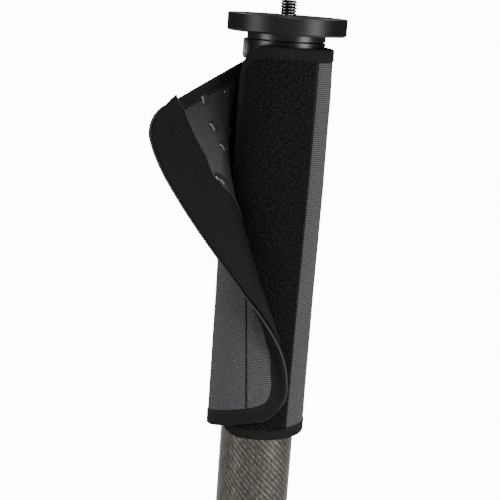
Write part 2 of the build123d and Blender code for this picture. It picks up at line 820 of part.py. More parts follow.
def hem_plane(depth, slope_x, slope_y):
    """Plane of a flap hem through the hinge line at a depth, its normal up."""
    root = polar(flap_root_radius, hinge_angle)
    return Plane(origin=(*root, -depth), x_dir=(1, 0, slope_x), z_dir=(-slope_x, -slope_y, 1))


def hem_depth(run, depth, slope_x, slope_y):
    """Depth at which a hem plane meets the flap at a run from the hinge."""
    root = polar(flap_root_radius, hinge_angle)
    low, high = 0.0, wrap_bottom * 2
    for _ in range(40):
        middle = (low + high) / 2
        x, y, _ = flap_place(middle, run)
        if depth - slope_x * (x - root[0]) - slope_y * (y - root[1]) < middle:
            high = middle
        else:
            low = middle
    return (low + high) / 2


top_hem = (flap_top_depth, flap_top_slope_x, flap_top_slope_y)
bottom_hem = (wrap_bottom, flap_bottom_slope_x, flap_bottom_slope_y)
hem_lean = math.sqrt(1 + flap_top_slope_x**2)


def flap_corner(run, depth, along, hem, radius):
    """Rounding tool at a free corner of the flap."""
    x, y, _ = flap_place(depth, run)
    back = flap_place(hem_depth(run - radius / 2, *hem), run - radius / 2)
    hem_way = Vector(back[0] - x, back[1] - y, depth - hem_depth(run - radius / 2, *hem)).normalized()
    edge = flap_place(depth + along * radius / 2, run)
    edge_way = Vector(edge[0] - x, edge[1] - y, -along * radius / 2).normalized()
    normal = hem_way.cross(edge_way)
    plane = Plane(origin=(x, y, -depth), x_dir=hem_way, z_dir=normal)
    return corner_tool(plane, radius, hem_way.get_angle(edge_way))


inner_stop = flap_length - edge_hem_width
flap_joints = [strip_start * n / flap_arc_count for n in range(flap_arc_count + 1)]
flap_joints += [(strip_start + inner_stop) / 2, inner_stop, flap_length]


def flap_section(depth, start, stop, inner, outer):
    """Level section of a flap layer: joined arcs on both sides, closed by a line at each end."""
    joints = [start] + [run for run in flap_joints if start < run < stop] + [stop]
    edges, corners = [], []
    for side in (-inner, outer):
        for first, last in zip(joints, joints[1:]):
            runs = (first, (first + last) / 2, last)
            near, middle, far = [Vector(*flap_place(depth, run, side)[:2], -depth) for run in runs]
            bow = (middle - (near + far) / 2).length
            edges.append(Line(near, far) if bow < flat_bow else ThreePointArc(near, middle, far))
            corners.append(near)
        corners.append(far)
    half = len(corners) // 2
    edges += [Line(corners[0], corners[half]), Line(corners[half - 1], corners[-1])]
    return Face(Wire(edges))


def flap_blank(start, stop, inner, outer):
    """Untrimmed flap layer lofted through its level sections."""
    depths = [peel_top + flap_reach * n / (flap_section_count - 1) for n in range(flap_section_count)]
    sections = [flap_section(depth, start, stop, inner, outer) for depth in depths]
    with BuildPart() as body:
        loft(sections)
    return body.part


def flap_layer(start, stop, inner, outer, inset):
    """Flap layer trimmed at both hems, with rounded free corners where it reaches the edge hem."""
    upper = (flap_top_depth + inset * hem_lean, *top_hem[1:])
    lower = (wrap_bottom - inset, *bottom_hem[1:])
    with BuildPart() as body:
        add(flap_blank(start, stop, inner, outer))
        split(bisect_by=hem_plane(*upper), keep=Keep.BOTTOM)
        split(bisect_by=hem_plane(*lower), keep=Keep.TOP)
        if stop > strip_start + hem_width:
            edge = edge_hem_width if inset else 0
            top_radius = flap_top_corner_radius - edge / 2
            bottom_radius = flap_bottom_corner_radius - edge / 2
            add(flap_corner(stop, hem_depth(stop, *upper), 1, upper, top_radius), mode=Mode.SUBTRACT)
            add(flap_corner(stop, hem_depth(stop, *lower), -1, lower, bottom_radius), mode=Mode.SUBTRACT)
    return body.part


inner_inset = hem_width + 6 * layer_gap
layer_stop = inner_stop - 6 * layer_gap
lining_stop = strip_start - layer_gap
keep("flap_lining", flap_layer(flap_root_gap, lining_stop, flap_lining_in, -flap_lining_out, inner_inset))
keep("flap_padding", flap_layer(flap_root_gap, layer_stop, flap_padding_in, flap_padding_out, inner_inset))
keep("flap_shell", flap_layer(flap_root_gap, layer_stop, -flap_shell_in, flap_shell_out, inner_inset))
keep("hook_strip", flap_layer(strip_start, layer_stop, strip_in, -strip_out, inner_inset))
with BuildPart() as flap_binding:
    add(flap_layer(flap_root_gap, flap_length, flap_hem_half, flap_hem_half, 0))
    add(flap_layer(-overrun, inner_stop, 2 * flap_hem_half, 2 * flap_hem_half, hem_width), mode=Mode.SUBTRACT)
keep("flap_binding", flap_binding.part)

with BuildPart() as flap_grip_dots:
    for run, depth in dot_places:
        x, y, heading = flap_place(depth, run, -flap_lining_in - dot_lift)
        above = flap_place(depth - dot_diameter, run)
        here = flap_place(depth, run)
        level = Vector(math.cos(heading), math.sin(heading), 0)
        rise = Vector(above[0] - here[0], above[1] - here[1], dot_diameter)
        with BuildSketch(Plane(origin=(x, y, -depth), x_dir=level, z_dir=rise.cross(level))):
            Circle(dot_diameter / 2)
        extrude(amount=dot_height)
keep("flap_grip_dots", flap_grip_dots.part)

for name, part in pieces.items():
    export_step(part, f"parts/{name}.step")
    print(name, len(part.solids()), round(part.volume))
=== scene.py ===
import math
from functools import partial

import bmesh
import bpy
import numpy as np
from mathutils import Matrix, Vector, noise


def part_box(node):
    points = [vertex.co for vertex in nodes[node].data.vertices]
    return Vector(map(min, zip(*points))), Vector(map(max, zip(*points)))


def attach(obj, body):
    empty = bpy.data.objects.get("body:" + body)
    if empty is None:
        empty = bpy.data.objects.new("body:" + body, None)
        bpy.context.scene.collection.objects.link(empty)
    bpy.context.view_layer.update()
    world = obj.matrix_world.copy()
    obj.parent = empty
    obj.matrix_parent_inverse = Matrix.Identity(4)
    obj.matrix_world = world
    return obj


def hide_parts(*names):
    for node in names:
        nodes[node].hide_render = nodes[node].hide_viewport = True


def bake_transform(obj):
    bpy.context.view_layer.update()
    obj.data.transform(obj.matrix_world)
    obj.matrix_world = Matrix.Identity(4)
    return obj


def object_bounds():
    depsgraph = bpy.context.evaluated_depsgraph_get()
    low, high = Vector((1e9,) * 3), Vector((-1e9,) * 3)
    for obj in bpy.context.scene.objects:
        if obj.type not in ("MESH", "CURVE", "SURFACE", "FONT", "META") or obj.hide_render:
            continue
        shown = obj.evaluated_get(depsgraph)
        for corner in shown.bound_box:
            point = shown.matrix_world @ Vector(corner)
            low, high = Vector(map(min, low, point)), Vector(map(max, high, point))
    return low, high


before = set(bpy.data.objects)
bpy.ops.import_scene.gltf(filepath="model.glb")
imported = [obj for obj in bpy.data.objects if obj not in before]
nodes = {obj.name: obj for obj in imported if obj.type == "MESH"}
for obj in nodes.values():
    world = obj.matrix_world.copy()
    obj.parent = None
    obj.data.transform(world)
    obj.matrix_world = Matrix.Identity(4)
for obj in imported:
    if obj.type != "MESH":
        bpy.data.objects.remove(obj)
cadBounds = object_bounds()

mm = 0.001

for leftover in ("Cube", "Light", "Camera"):
    if leftover in bpy.data.objects:
        bpy.data.objects.remove(bpy.data.objects[leftover])

# View: the photograph looks a little down on the head from the front
view = {
    "place": (0.0, -0.7, 0.016),
    "yaw": -0.944,
    "pitch": 11.998,
    "roll": 4.133,
    "lens": 90.34,
    "sensor": 36.0,
}


def addObject(name, data):
    added = bpy.data.objects.new(name, data)
    bpy.context.scene.collection.objects.link(added)
    return added


def makeCamera():
    yaw, pitch, roll = (math.radians(view[key]) for key in ("yaw", "pitch", "roll"))
    ahead = Vector((math.sin(yaw) * math.cos(pitch), math.cos(yaw) * math.cos(pitch), -math.sin(pitch)))
    level = Vector((math.cos(yaw), -math.sin(yaw), 0))
    above = level.cross(ahead)
    right = math.cos(roll) * level + math.sin(roll) * above
    top = math.cos(roll) * above - math.sin(roll) * level
    lensData = bpy.data.cameras.new("photoCamera")
    lensData.lens = view["lens"]
    lensData.sensor_width = view["sensor"]
    lensData.clip_start = 0.01
    camera = addObject("photoCamera", lensData)
    camera.matrix_world = Matrix((right, top, -ahead)).transposed().to_4x4()
    camera.location = view["place"]
    bpy.context.scene.camera = camera


makeCamera()
print("camera ready")

# Shape of the grip wrap, in millimetres, depths measured down from the plate's seat
wrap = {
    "top": 16.5,
    "height": 220.5,
    "radius": 27.1,
    "radiusShares": ((0.0, 0.975), (0.12, 0.998), (0.33, 1.0), (0.65, 0.98), (1.0, 0.972)),
    "endAngle": 208.0,
    "hingeAngle": 135.0,
    "tubeSkin": 21.35,
    "collarSkin": 21.85,
    "collarDepth": 24.3,
    "hem": 7.0,
    "cornerRadius": 19.0,
    "seamRun": -8.0,
    "panelAngles": (-47.4, -53.0),
}
flap = {
    "length": 81.3,
    "rootRadius": 23.4,
    "meetAngle": 214.5,
    "standOff": 2.9,
    "peelTop": 10.0,
    "peelRate": 0.367,
    "peelBow": 7.5,
    "peelHeight": 220.0,
    "curlRadius": 8.5,
    "curlAngle": 189.5,
    "curlTwist": 32.8,
    "curlMiddle": 140.0,
    "curlHeight": 80.0,
    "inner": -1.25,
    "outer": 1.15,
    "topDepth": 23.0,
    "topSlope": (0.734, -0.095),
    "bottomSlope": (0.243, -0.175),
    "topHem": 7.0,
    "edgeHem": 8.8,
    "topCorner": 20.0,
    "bottomCorner": 19.0,
}
wrapBottom = wrap["top"] + wrap["height"]
wrapStart = -math.radians(360 + wrap["hingeAngle"] - wrap["endAngle"]) * wrap["radius"]
seamRun = wrap["seamRun"]
cornerSteps = 16  # straight pieces in each rounded corner


def smoothStep(low, high, value):
    share = min(max((value - low) / (high - low), 0.0), 1.0)
    return share * share * (3 - 2 * share)


def curveAt(curve, place):
    # height of a curve of (place, height) pairs
    return float(np.interp(place, *zip(*curve)))


def wrapRadius(depth):
    share = min(max((depth - wrap["top"]) / wrap["height"], 0.0), 1.0)
    return wrap["radius"] * curveAt(wrap["radiusShares"], share)


def skinRadius(depth):
    fall = smoothStep(wrap["collarDepth"] - 1, wrap["collarDepth"] + 1, depth)
    return wrap["collarSkin"] + (wrap["tubeSkin"] - wrap["collarSkin"]) * fall


def flapMiddle(run, depth):
    # level section at this depth: round the tube, over the closed part, back over the fold, then straight
    root, length, curlRadius = flap["rootRadius"], flap["length"], flap["curlRadius"]
    wall = wrapRadius(depth) + flap["standOff"]
    meet, start = math.radians(flap["meetAngle"]), math.radians(wrap["hingeAngle"])
    shift = (wall**2 - root**2) / (2 * (wall - root * math.cos(meet - start)))
    bend = wall - shift
    x, y = root * math.cos(start), root * math.sin(start)
    turn = math.atan2(y - shift * math.sin(meet), x - shift * math.cos(meet)) % (2 * math.pi)
    heading = turn + math.pi / 2
    drop = min(max(depth - flap["peelTop"], 0.0), flap["peelHeight"])
    bow = flap["peelBow"] * math.sin(math.pi * drop / flap["peelHeight"])
    held = min(max((depth - flap["peelTop"]) * flap["peelRate"] + bow, 0.0), length)
    first = min(held, bend * (meet - turn))
    second = held - first
    twist = flap["curlTwist"] * (depth - flap["curlMiddle"]) / flap["curlHeight"]
    last = math.radians(flap["curlAngle"] - twist)
    over = max(heading + first / bend + second / wall - last, 0.0)
    curl = min(curlRadius * over, length - held)
    left = run
    for arc, curve in ((first, 1 / bend), (second, 1 / wall), (curl, -1 / curlRadius), (length, 0.0)):
        part = min(left, arc)
        if curve:
            x += (math.sin(heading + curve * part) - math.sin(heading)) / curve
            y += (math.cos(heading) - math.cos(heading + curve * part)) / curve
            heading += curve * part
        else:
            x += part * math.cos(heading)
            y += part * math.sin(heading)
        left -= part
        if left <= 0:
            break
    return x, y, heading


def sheetPoint(run, depth, share, lift=0.0):
    # run is negative on the closed part and positive on the flap; share 0 is the inside face and 1 the outside
    root = flap["rootRadius"]
    around = math.radians(wrap["hingeAngle"]) + run / wrap["radius"]
    thickIn, thickOut = skinRadius(depth) - root, wrapRadius(depth) - root
    if run <= 0:
        x, y, heading = root * math.cos(around), root * math.sin(around), around + math.pi / 2
    else:
        x, y, heading = flapMiddle(run, depth)
    if -4 < run < 4:
        onFlap = flapMiddle(max(run, 0.0), depth)[2] + min(run, 0.0) / root
        heading = around + math.pi / 2 + (onFlap - around - math.pi / 2) * smoothStep(-4, 4, run)
    thin = smoothStep(-3, 9, run)
    low = thickIn + (flap["inner"] - thickIn) * thin
    high = thickOut + (flap["outer"] - thickOut) * thin
    side = low + (high - low) * share + lift
    return Vector((x + side * math.sin(heading), y - side * math.cos(heading), -depth)) * mm


def hemDepth(run, depth, slope):
    # depth where the sloping hem plane crosses the flap at this run
    rootX, rootY, _ = flapMiddle(0.0, 100.0)
    low, high = 0.0, wrapBottom * 2
    for _ in range(36):
        middle = (low + high) / 2
        x, y, _ = flapMiddle(run, middle)
        if depth - slope[0] * (x - rootX) - slope[1] * (y - rootY) < middle:
            high = middle
        else:
            low = middle
    return (low + high) / 2


def roundedOutline(runs, tops, bottoms, topRadius, bottomRadius):
    # along the top edge to the free end, round both corners and back along the bottom edge
    outline = []
    for depths, radius, down in ((tops, topRadius, 1), (bottoms, bottomRadius, -1)):
        branch = [Vector((run, depth)) for run, depth in zip(runs, depths)]
        corner = branch[-1]
        back = (branch[-4] - corner).normalized()
        side = Vector((0, down))
        lean = back.angle(side)
        reach = radius / math.tan(lean / 2)
        centre = corner + (back + side).normalized() * radius / math.sin(lean / 2)
        spoke, lastSpoke = corner + back * reach - centre, corner + side * reach - centre
        sign = 1 if spoke.x * lastSpoke.y - spoke.y * lastSpoke.x > 0 else -1
        kept = [point for point in branch if (point - corner).length > reach]
        arc = []
        for step in range(cornerSteps + 1):
            turn = sign * (math.pi - lean) * step / cornerSteps
            arc.append(centre + Vector((spoke.x * math.cos(turn) - spoke.y * math.sin(turn),
                                        spoke.x * math.sin(turn) + spoke.y * math.cos(turn))))
        outline.append(kept + arc)
    top, bottom = outline
    steps = max(int((bottom[-1] - top[-1]).length / 3), 2)
    edge = [top[-1].lerp(bottom[-1], step / steps) for step in range(1, steps)]
    return top, edge, bottom[::-1]


def makeFlapOutline():
    runs = [seamRun + step for step in range(int(flap["length"] - seamRun))] + [flap["length"]]
    tops, bottoms = [], []
    for run in runs:
        if run <= 0:
            tops.append(wrap["top"] + (flap["topDepth"] - wrap["top"]) * smoothStep(seamRun, 0, run))
            bottoms.append(wrapBottom)
        else:
            tops.append(hemDepth(run, flap["topDepth"], flap["topSlope"]))
            bottoms.append(hemDepth(run, wrapBottom, flap["bottomSlope"]))
    return roundedOutline(runs, tops, bottoms, flap["topCorner"], flap["bottomCorner"])


def makeWrapOutline():
    span = seamRun - wrapStart
    count = int(span / 2)
    runs = [seamRun - span * step / count for step in range(count + 1)]
    flat = [wrap["top"]] * len(runs), [wrapBottom] * len(runs)
    return roundedOutline(runs, *flat, wrap["cornerRadius"], wrap["cornerRadius"])


def squareTo(points, index):
    # direction across the line of points at one of them
    along = points[min(index + 1, len(points) - 1)] - points[max(index - 1, 0)]
    return Vector((-along.y, along.x)).normalized()


def insetOutline(outline, distances, widen=None):
    # moves the outline inward, by its own distance along the top, the free end and the bottom
    top, edge, bottom = outline
    points = top + edge + bottom
    spans = [0.0]
    for here, after in zip(points, points[1:]):
        spans.append(spans[-1] + (after - here).length)
    places = (0, len(top) - cornerSteps - 1, len(top) - 1, len(top) + len(edge), -1)
    marks = [spans[place] for place in places]
    amounts = (distances[0], distances[0], distances[1], distances[1], distances[2])
    middle = sum(points, Vector((0, 0))) / len(points)
    moved = []
    for index, point in enumerate(points):
        inward = squareTo(points, index)
        if inward.dot(middle - point) < 0:
            inward = -inward
        amount = np.interp(spans[index], marks, amounts)
        if widen and marks[2] <= spans[index] <= marks[3]:
            amount += curveAt(widen, point.y)
        moved.append(point + inward * amount)
    return moved


def depthLimits(outline, inset):
    # top and bottom depth of the inset outline as curves over the run, and the run where they end
    moved = insetOutline(outline, inset)
    centre = (moved[0].y + moved[-1].y) / 2
    half = min(range(len(moved)), key=lambda index: abs(moved[index].y - centre))
    limits = [sorted((point.x, point.y) for point in branch) for branch in (moved[:half], moved[half:])]
    end = moved[half].x
    return limits, end - math.copysign(0.04, end - moved[0].x)  # just short of it, as the edge is upright


flapOutline = makeFlapOutline()
wrapOutline = makeWrapOutline()
print("wrap outlines ready")


def spread(start, stop, count, crowd=0.0):
    # even places, or places that crowd towards the stop
    return [start + (stop - start) * ((step / count) ** (1 - crowd)) for step in range(count + 1)]


def newPiece(name, points, faces, coordinates=None):
    mesh = bpy.data.meshes.new(name)
    mesh.from_pydata([tuple(point) for point in points], [], faces)
    if coordinates:
        layer = mesh.uv_layers.new(name="cloth")
        for loop in mesh.loops:
            layer.data[loop.index].uv = coordinates[loop.vertex_index]
    mesh.update()
    work = bmesh.new()
    work.from_mesh(mesh)
    bmesh.ops.recalc_face_normals(work, faces=work.faces)
    work.to_mesh(mesh)
    work.free()
    for polygon in mesh.polygons:
        polygon.use_smooth = True
    return addObject(name, mesh)


def addRings(faces, first, rings, steps):
    # walls between rings of points, with a cap on the first ring and on the last
    for ring in range(rings):
        base = first + ring * steps
        for step in range(steps):
            here, after = base + step, base + (step + 1) % steps
            faces.append((here, after, after + steps, here + steps))
    last = first + rings * steps
    faces.append(tuple(range(first, first + steps)))
    faces.append(tuple(reversed(range(last, last + steps))))


def sheetPiece(name, outline, inset, start, stop, columns, rows, inside, outside, relief=None, slant=None):
    # slab between two faces of the wrap, each a (share, lift); slant moves the start with the depth
    limits, end = depthLimits(outline, inset)
    stop = end if stop is None else stop
    start = end if start is None else start
    runs = spread(start, stop, columns, 0.25 if stop == end else 0.0)
    # the relief lifts the outside, and the inside too where the whole sheet lies on the lining
    swellIn = -1 if outside[0] < 0.5 else 0
    points, coordinates, faces = [], [], []
    for (share, lift), swell in ((inside, swellIn), (outside, 1)):
        for column in runs:
            top, bottom = (curveAt(limit, column) for limit in limits)
            for row in range(rows + 1):
                depth = top + (bottom - top) * row / rows
                run = column + slant(depth) * (stop - column) / (stop - start) if slant else column
                rise = relief(run, depth) * swell if relief else 0.0
                points.append(sheetPoint(run, depth, share, lift + rise))
                coordinates.append((run * mm, depth * mm))
    width, size = rows + 1, (columns + 1) * (rows + 1)
    for column in range(columns):
        for row in range(rows):
            corner = column * width + row
            here, *others = (corner, corner + 1, corner + width + 1, corner + width)
            faces += [(here, *others), tuple(size + spot for spot in (here, *reversed(others)))]
    sides = [(spot, 1) for row in range(rows) for spot in (row, columns * width + row)]
    sides += [(spot, width) for first in range(0, columns * width, width) for spot in (first, first + rows)]
    for corner, step in sides:
        faces.append((corner, corner + step, size + corner + step, size + corner))
    return newPiece(name, points, faces, coordinates)


def tapePiece(name, outline, widths, proud, thickness, widen=None):
    # binding folded round the edge: a profile of (along, share, lift) carried along the outline
    inner = insetOutline(outline, widths)
    outside = insetOutline(outline, widths, widen)
    outer = insetOutline(outline, (0.0, 0.0, 0.0))
    flat = [0.06 + 0.07 * step for step in range(1, 13)]
    profile = [(1.0, 1, -0.3), (1.0, 1, 0.1), (0.97, 1, proud)]
    profile += [(along, 1, proud + 0.08 * math.sin(math.pi * along)) for along in reversed(flat)]
    profile += [(0.06, 1, proud - 0.15), (0.02, 0.9, 0.0), (-0.02, 0.7, 0.0), (-0.035, 0.5, 0.0)]
    profile += [(-0.02, 0.3, 0.0), (0.02, 0.1, 0.0), (0.06, 0, 0.15 - thickness)]
    profile += [(along, 0, -thickness) for along in flat[::2]]
    profile += [(0.97, 0, -thickness), (1.0, 0, -0.1), (1.0, 0, 0.3)]
    points, coordinates, faces = [], [], []
    length = 0.0
    for index, edge in enumerate(outer):
        length += (edge - outer[index - 1]).length if index else 0.0
        for along, share, lift in profile:
            seam, side = (outside[index], 1) if share > 0.5 else (inner[index], -1)
            place = edge.lerp(seam, along)
            points.append(sheetPoint(place.x, place.y, share, lift))
            coordinates.append((length * mm, along * (seam - edge).length * side * mm))
    addRings(faces, 0, len(outer) - 1, len(profile))
    return newPiece(name, points, faces, coordinates)


def sweepPiece(name, places, profile, share, scale=None):
    # carries a closed profile of (across, lift) along (run, depth) places
    points, coordinates, faces = [], [], []
    length = 0.0
    for index, place in enumerate(places):
        across = squareTo(places, index)
        length += (place - places[index - 1]).length if index else 0.0
        width = curveAt(scale, place.y) if scale else 1.0
        for out, lift in profile:
            spot = place + across * out * width
            points.append(sheetPoint(spot.x, spot.y, share, lift))
            coordinates.append((length * mm, out * width * mm))
    addRings(faces, 0, len(places) - 1, len(profile))
    return newPiece(name, points, faces, coordinates)


stitch = {
    "pitch": 3.2,
    "length": 2.1,
    "radius": 0.2,
    "endShare": 0.55,
    "steps": 4,
    "sides": 6,
}


def stitchPiece(name, places, share, lift):
    # separate thread stitches along a line of (run, depth) places
    points, faces = [], []
    steps, sides, radius = stitch["steps"], stitch["sides"], stitch["radius"]
    marks = [0.0]
    for here, after in zip(places, places[1:]):
        marks.append(marks[-1] + (Vector(after) - Vector(here)).length)
    runs, depths = zip(*places)
    for index in range(int(marks[-1] / stitch["pitch"])):
        ends = []
        for step in range(steps + 1):
            mark = index * stitch["pitch"] + stitch["length"] * step / steps
            run, depth = float(np.interp(mark, marks, runs)), float(np.interp(mark, marks, depths))
            dip = radius * 0.9 * (2 * step / steps - 1) ** 2
            ends.append((sheetPoint(run, depth, share, lift + (-dip if share else dip)), run, depth))
        base = len(points)
        for step, (middle, run, depth) in enumerate(ends):
            along = (ends[min(step + 1, steps)][0] - ends[max(step - 1, 0)][0]).normalized()
            outward = sheetPoint(run, depth, share, lift + 1) - sheetPoint(run, depth, share, lift)
            outward.normalize()
            across = along.cross(outward).normalized()
            size = radius * mm * (stitch["endShare"] if step in (0, steps) else 1.0)
            for turn in range(sides):
                angle = 2 * math.pi * turn / sides
                points.append(middle + (across * math.cos(angle) + outward * math.sin(angle)) * size)
        addRings(faces, base, steps, sides)
    return newPiece(name, points, faces)


# Soft relief of the cloth, in millimetres
cloth = {
    "puff": 0.16,
    "puffSize": (17.0, 31.0),
    "fine": 0.05,
    "fineSize": (6.0, 9.0),
    "seamRuns": ((20.0, 53.0), (155.0, 55.9), (216.0, 59.8), (240.0, 60.8)),
    "seamDepth": 0.5,
    "seamWidth": 0.8,
    "wrinkleDepth": 0.9,
    "puckerDepth": 0.09,
    "puckerPitch": 6.4,
    "tuft": 0.2,
    "tuftSize": 1.7,
    "pile": 0.5,
}


def seamAt(depth):
    return curveAt(cloth["seamRuns"], depth)


def softRelief(run, depth):
    wave = noise.noise(Vector((run / cloth["puffSize"][0], depth / cloth["puffSize"][1], 3.7)))
    fine = noise.noise(Vector((run / cloth["fineSize"][0], depth / cloth["fineSize"][1], 8.1)))
    return cloth["puff"] * wave + cloth["fine"] * fine


def shellRelief(run, depth):
    # puckers along the sunk seam, and folds between it and the free edge
    beyond = run - seamAt(depth)
    groove = math.exp(-((beyond / cloth["seamWidth"]) ** 2))
    pucker = math.exp(-((abs(beyond) - 2.2) / 1.8) ** 2) * math.sin(depth * 2 * math.pi / cloth["puckerPitch"])
    folds = noise.noise(Vector((run / 6.5 + depth / 16.0, depth / 14.0 - run / 9.0, 1.3)))
    rise = cloth["wrinkleDepth"] * folds * smoothStep(0, 5, beyond)
    return softRelief(run, depth) + rise + cloth["puckerDepth"] * pucker - cloth["seamDepth"] * groove


def loopRelief(run, depth):
    tuft = noise.noise(Vector((run / cloth["tuftSize"], depth / cloth["tuftSize"], 5.5)))
    edge = smoothStep(0, 1.2, panelStop(depth) - run)
    return cloth["pile"] * edge + cloth["tuft"] * tuft + 0.5 * softRelief(run, depth)


# Shader nodes: a plain value goes on the socket itself, and anything else is linked to it
def setSockets(tree, node, values):
    for label, value in values.items():
        if isinstance(value, bpy.types.NodeSocket):
            tree.links.new(value, node.inputs[label])
        elif value is not None:
            node.inputs[label].default_value = value


def newNode(tree, kind, values):
    node = tree.nodes.new("ShaderNode" + kind)
    setSockets(tree, node, values)
    return node


def mathNode(tree, operation, first, second=None, third=None):
    node = newNode(tree, "Math", {0: first, 1: second, 2: third})
    node.operation = operation
    return node.outputs[0]


def clampNode(tree, value):
    return mathNode(tree, "MINIMUM", mathNode(tree, "MAXIMUM", value, 0.0), 1.0)


def noiseNode(tree, place, scale, detail=3.0, roughness=0.55):
    values = {"Vector": place, "Scale": scale, "Detail": detail, "Roughness": roughness}
    return newNode(tree, "TexNoise", values).outputs["Fac"]


def splitVector(tree, vector):
    return newNode(tree, "SeparateXYZ", {0: vector}).outputs


def joinVector(tree, x, y):
    return newNode(tree, "CombineXYZ", {0: x, 1: y}).outputs[0]


def waveOf(tree, value, pitch):
    # 0 to 1 to 0 over each pitch
    turns = mathNode(tree, "DIVIDE", value, pitch)
    swing = mathNode(tree, "COSINE", mathNode(tree, "MULTIPLY", turns, 2 * math.pi))
    return mathNode(tree, "MULTIPLY_ADD", swing, 0.5, 0.5)


def rangeOf(tree, value, low, high):
    return mathNode(tree, "MULTIPLY_ADD", value, high - low, low)


def newGroup(name, inputs, outputs):
    # takes a place and the given numbers, and gives the named values
    group = bpy.data.node_groups.new(name, "ShaderNodeTree")
    group.interface.new_socket(name="Place", in_out="INPUT", socket_type="NodeSocketVector")
    for label, value in inputs.items():
        socket = group.interface.new_socket(name=label, in_out="INPUT", socket_type="NodeSocketFloat")
        socket.default_value = value
    for label in outputs:
        group.interface.new_socket(name=label, in_out="OUTPUT", socket_type="NodeSocketFloat")
    take, give = group.nodes.new("NodeGroupInput"), group.nodes.new("NodeGroupOutput")
    return group, take.outputs, give, partial(mathNode, group)


def makeRibGroup():
    # ribbed cloth: ribs along the first direction, fine yarns across them, and a groove mask that carries
    # painted shade
    inputs = {"Rib": 0.001, "Yarn": 0.0005, "Wander": 0.0001}
    group, take, give, calc = newGroup("ribbedCloth", inputs, ("Height", "PaintedGrooveShade"))
    u, v, _ = splitVector(group, take["Place"])
    stray = calc("SUBTRACT", noiseNode(group, take["Place"], 120.0), 0.5)
    rib = waveOf(group, calc("MULTIPLY_ADD", stray, take["Wander"], v), take["Rib"])
    height = calc("MULTIPLY_ADD", waveOf(group, u, take["Yarn"]), 0.3, calc("POWER", rib, 0.7))
    setSockets(group, give, {"Height": height, "PaintedGrooveShade": calc("SUBTRACT", 1.0, rib)})
    return group


def makeWeaveGroup():
    # twill: tows pass over two and under two, with the step moving one along each row
    group, take, give, calc = newGroup("twillWeave", {"Tow": 0.002}, ("Warp", "Height", "Fibre", "Fleck"))
    u, v, _ = splitVector(group, take["Place"])
    across, along = calc("DIVIDE", u, take["Tow"]), calc("DIVIDE", v, take["Tow"])
    column = calc("FLOOR", across)
    cell = calc("ADD", column, calc("FLOOR", along))
    warp = calc("LESS_THAN", calc("FLOORED_MODULO", cell, 4.0), 2.0)
    under = calc("SUBTRACT", 1.0, warp)

    def overAndUnder(offset, pitch):
        over, below = (waveOf(group, calc("SUBTRACT", value, offset), pitch) for value in (across, along))
        return calc("ADD", calc("MULTIPLY", warp, over), calc("MULTIPLY", under, below))

    fleck = newNode(group, "TexWhiteNoise", {
        "Vector": joinVector(group, column, calc("FLOOR", calc("DIVIDE", cell, 2.0))),
    })
    setSockets(group, give, {
        "Warp": warp,
        "Height": overAndUnder(0.5, 1.0),
        "Fibre": overAndUnder(0.0, 0.09),
        "Fleck": fleck.outputs["Value"],
    })
    return group


def makeGrainGroup():
    # fine mottling and speckle that every finish shares
    inputs = {"Scale": 400.0, "Contrast": 1.0}
    group, take, give, calc = newGroup("surfaceGrain", inputs, ("Mottle", "Height"))
    coarse = noiseNode(group, take["Place"], calc("MULTIPLY", take["Scale"], 0.12))
    fine = noiseNode(group, take["Place"], take["Scale"], 4.0)
    mixed = calc("ADD", calc("MULTIPLY", coarse, 0.45), calc("MULTIPLY", fine, 0.55))
    centred = calc("MULTIPLY_ADD", calc("SUBTRACT", mixed, 0.5), take["Contrast"], 0.5)
    setSockets(group, give, {"Mottle": clampNode(group, centred), "Height": fine})
    return group


def makeWearGroup():
    # brighter worn metal on convex edges
    group, take, give, calc = newGroup("edgeWear", {"Amount": 0.3}, ("Worn",))
    pointed = newNode(group, "NewGeometry", {}).outputs["Pointiness"]
    sharp = calc("MULTIPLY", calc("SUBTRACT", pointed, 0.54), 9.0)
    broken = calc("MULTIPLY", sharp, noiseNode(group, take["Place"], 260.0))
    setSockets(group, give, {"Worn": clampNode(group, calc("MULTIPLY", broken, take["Amount"]))})
    return group


groups = {
    "rib": makeRibGroup(),
    "weave": makeWeaveGroup(),
    "grain": makeGrainGroup(),
    "wear": makeWearGroup(),
}


def newMaterial(name):
    material = bpy.data.materials.new(name)
    material.use_nodes = True
    tree = material.node_tree
    return material, tree, tree.nodes["Principled BSDF"]


def useGroup(tree, name, place, **values):
    node = tree.nodes.new("ShaderNodeGroup")
    node.node_tree = groups[name]
    setSockets(tree, node, {"Place": place, **values})
    return node.outputs


def objectPlace(tree):
    return newNode(tree, "TexCoord", {}).outputs["Object"]


def clothPlace(tree):
    node = newNode(tree, "UVMap", {})
    node.uv_map = "cloth"
    return node.outputs["UV"]


def tubePlace(tree, radius):
    # unrolls a tube about the vertical axis
    x, y, z = splitVector(tree, objectPlace(tree))
    return joinVector(tree, mathNode(tree, "MULTIPLY", mathNode(tree, "ARCTAN2", y, x), radius), z)


def leaningPlace(tree, place, lean):
    # shears the cloth's place so that ribs climb along the run
    u, v, _ = splitVector(tree, place)
    return joinVector(tree, u, mathNode(tree, "MULTIPLY_ADD", u, -lean, v))


def shadeOf(colour, amount):
    return tuple(part * amount for part in colour)


def mixColours(tree, share, dark, light):
    node = tree.nodes.new("ShaderNodeMix")
    node.data_type = "RGBA"
    colours = ((*colour, 1) if isinstance(colour, tuple) else colour for colour in (dark, light))
    setSockets(tree, node, {"Factor": share, **dict(zip((6, 7), colours))})
    return node.outputs[2]


def mottled(tree, share, colour, low, high):
    # between a darker and a lighter shade of one colour
    return mixColours(tree, share, shadeOf(colour, low), shadeOf(colour, high))


def addBump(tree, shader, height, distance, strength=1.0):
    bump = newNode(tree, "Bump", {"Distance": distance, "Strength": strength, "Height": height})
    tree.links.new(bump.outputs[0], shader.inputs["Normal"])


neckFinish = {"brighter": 2.0, "smoother": 0.86}


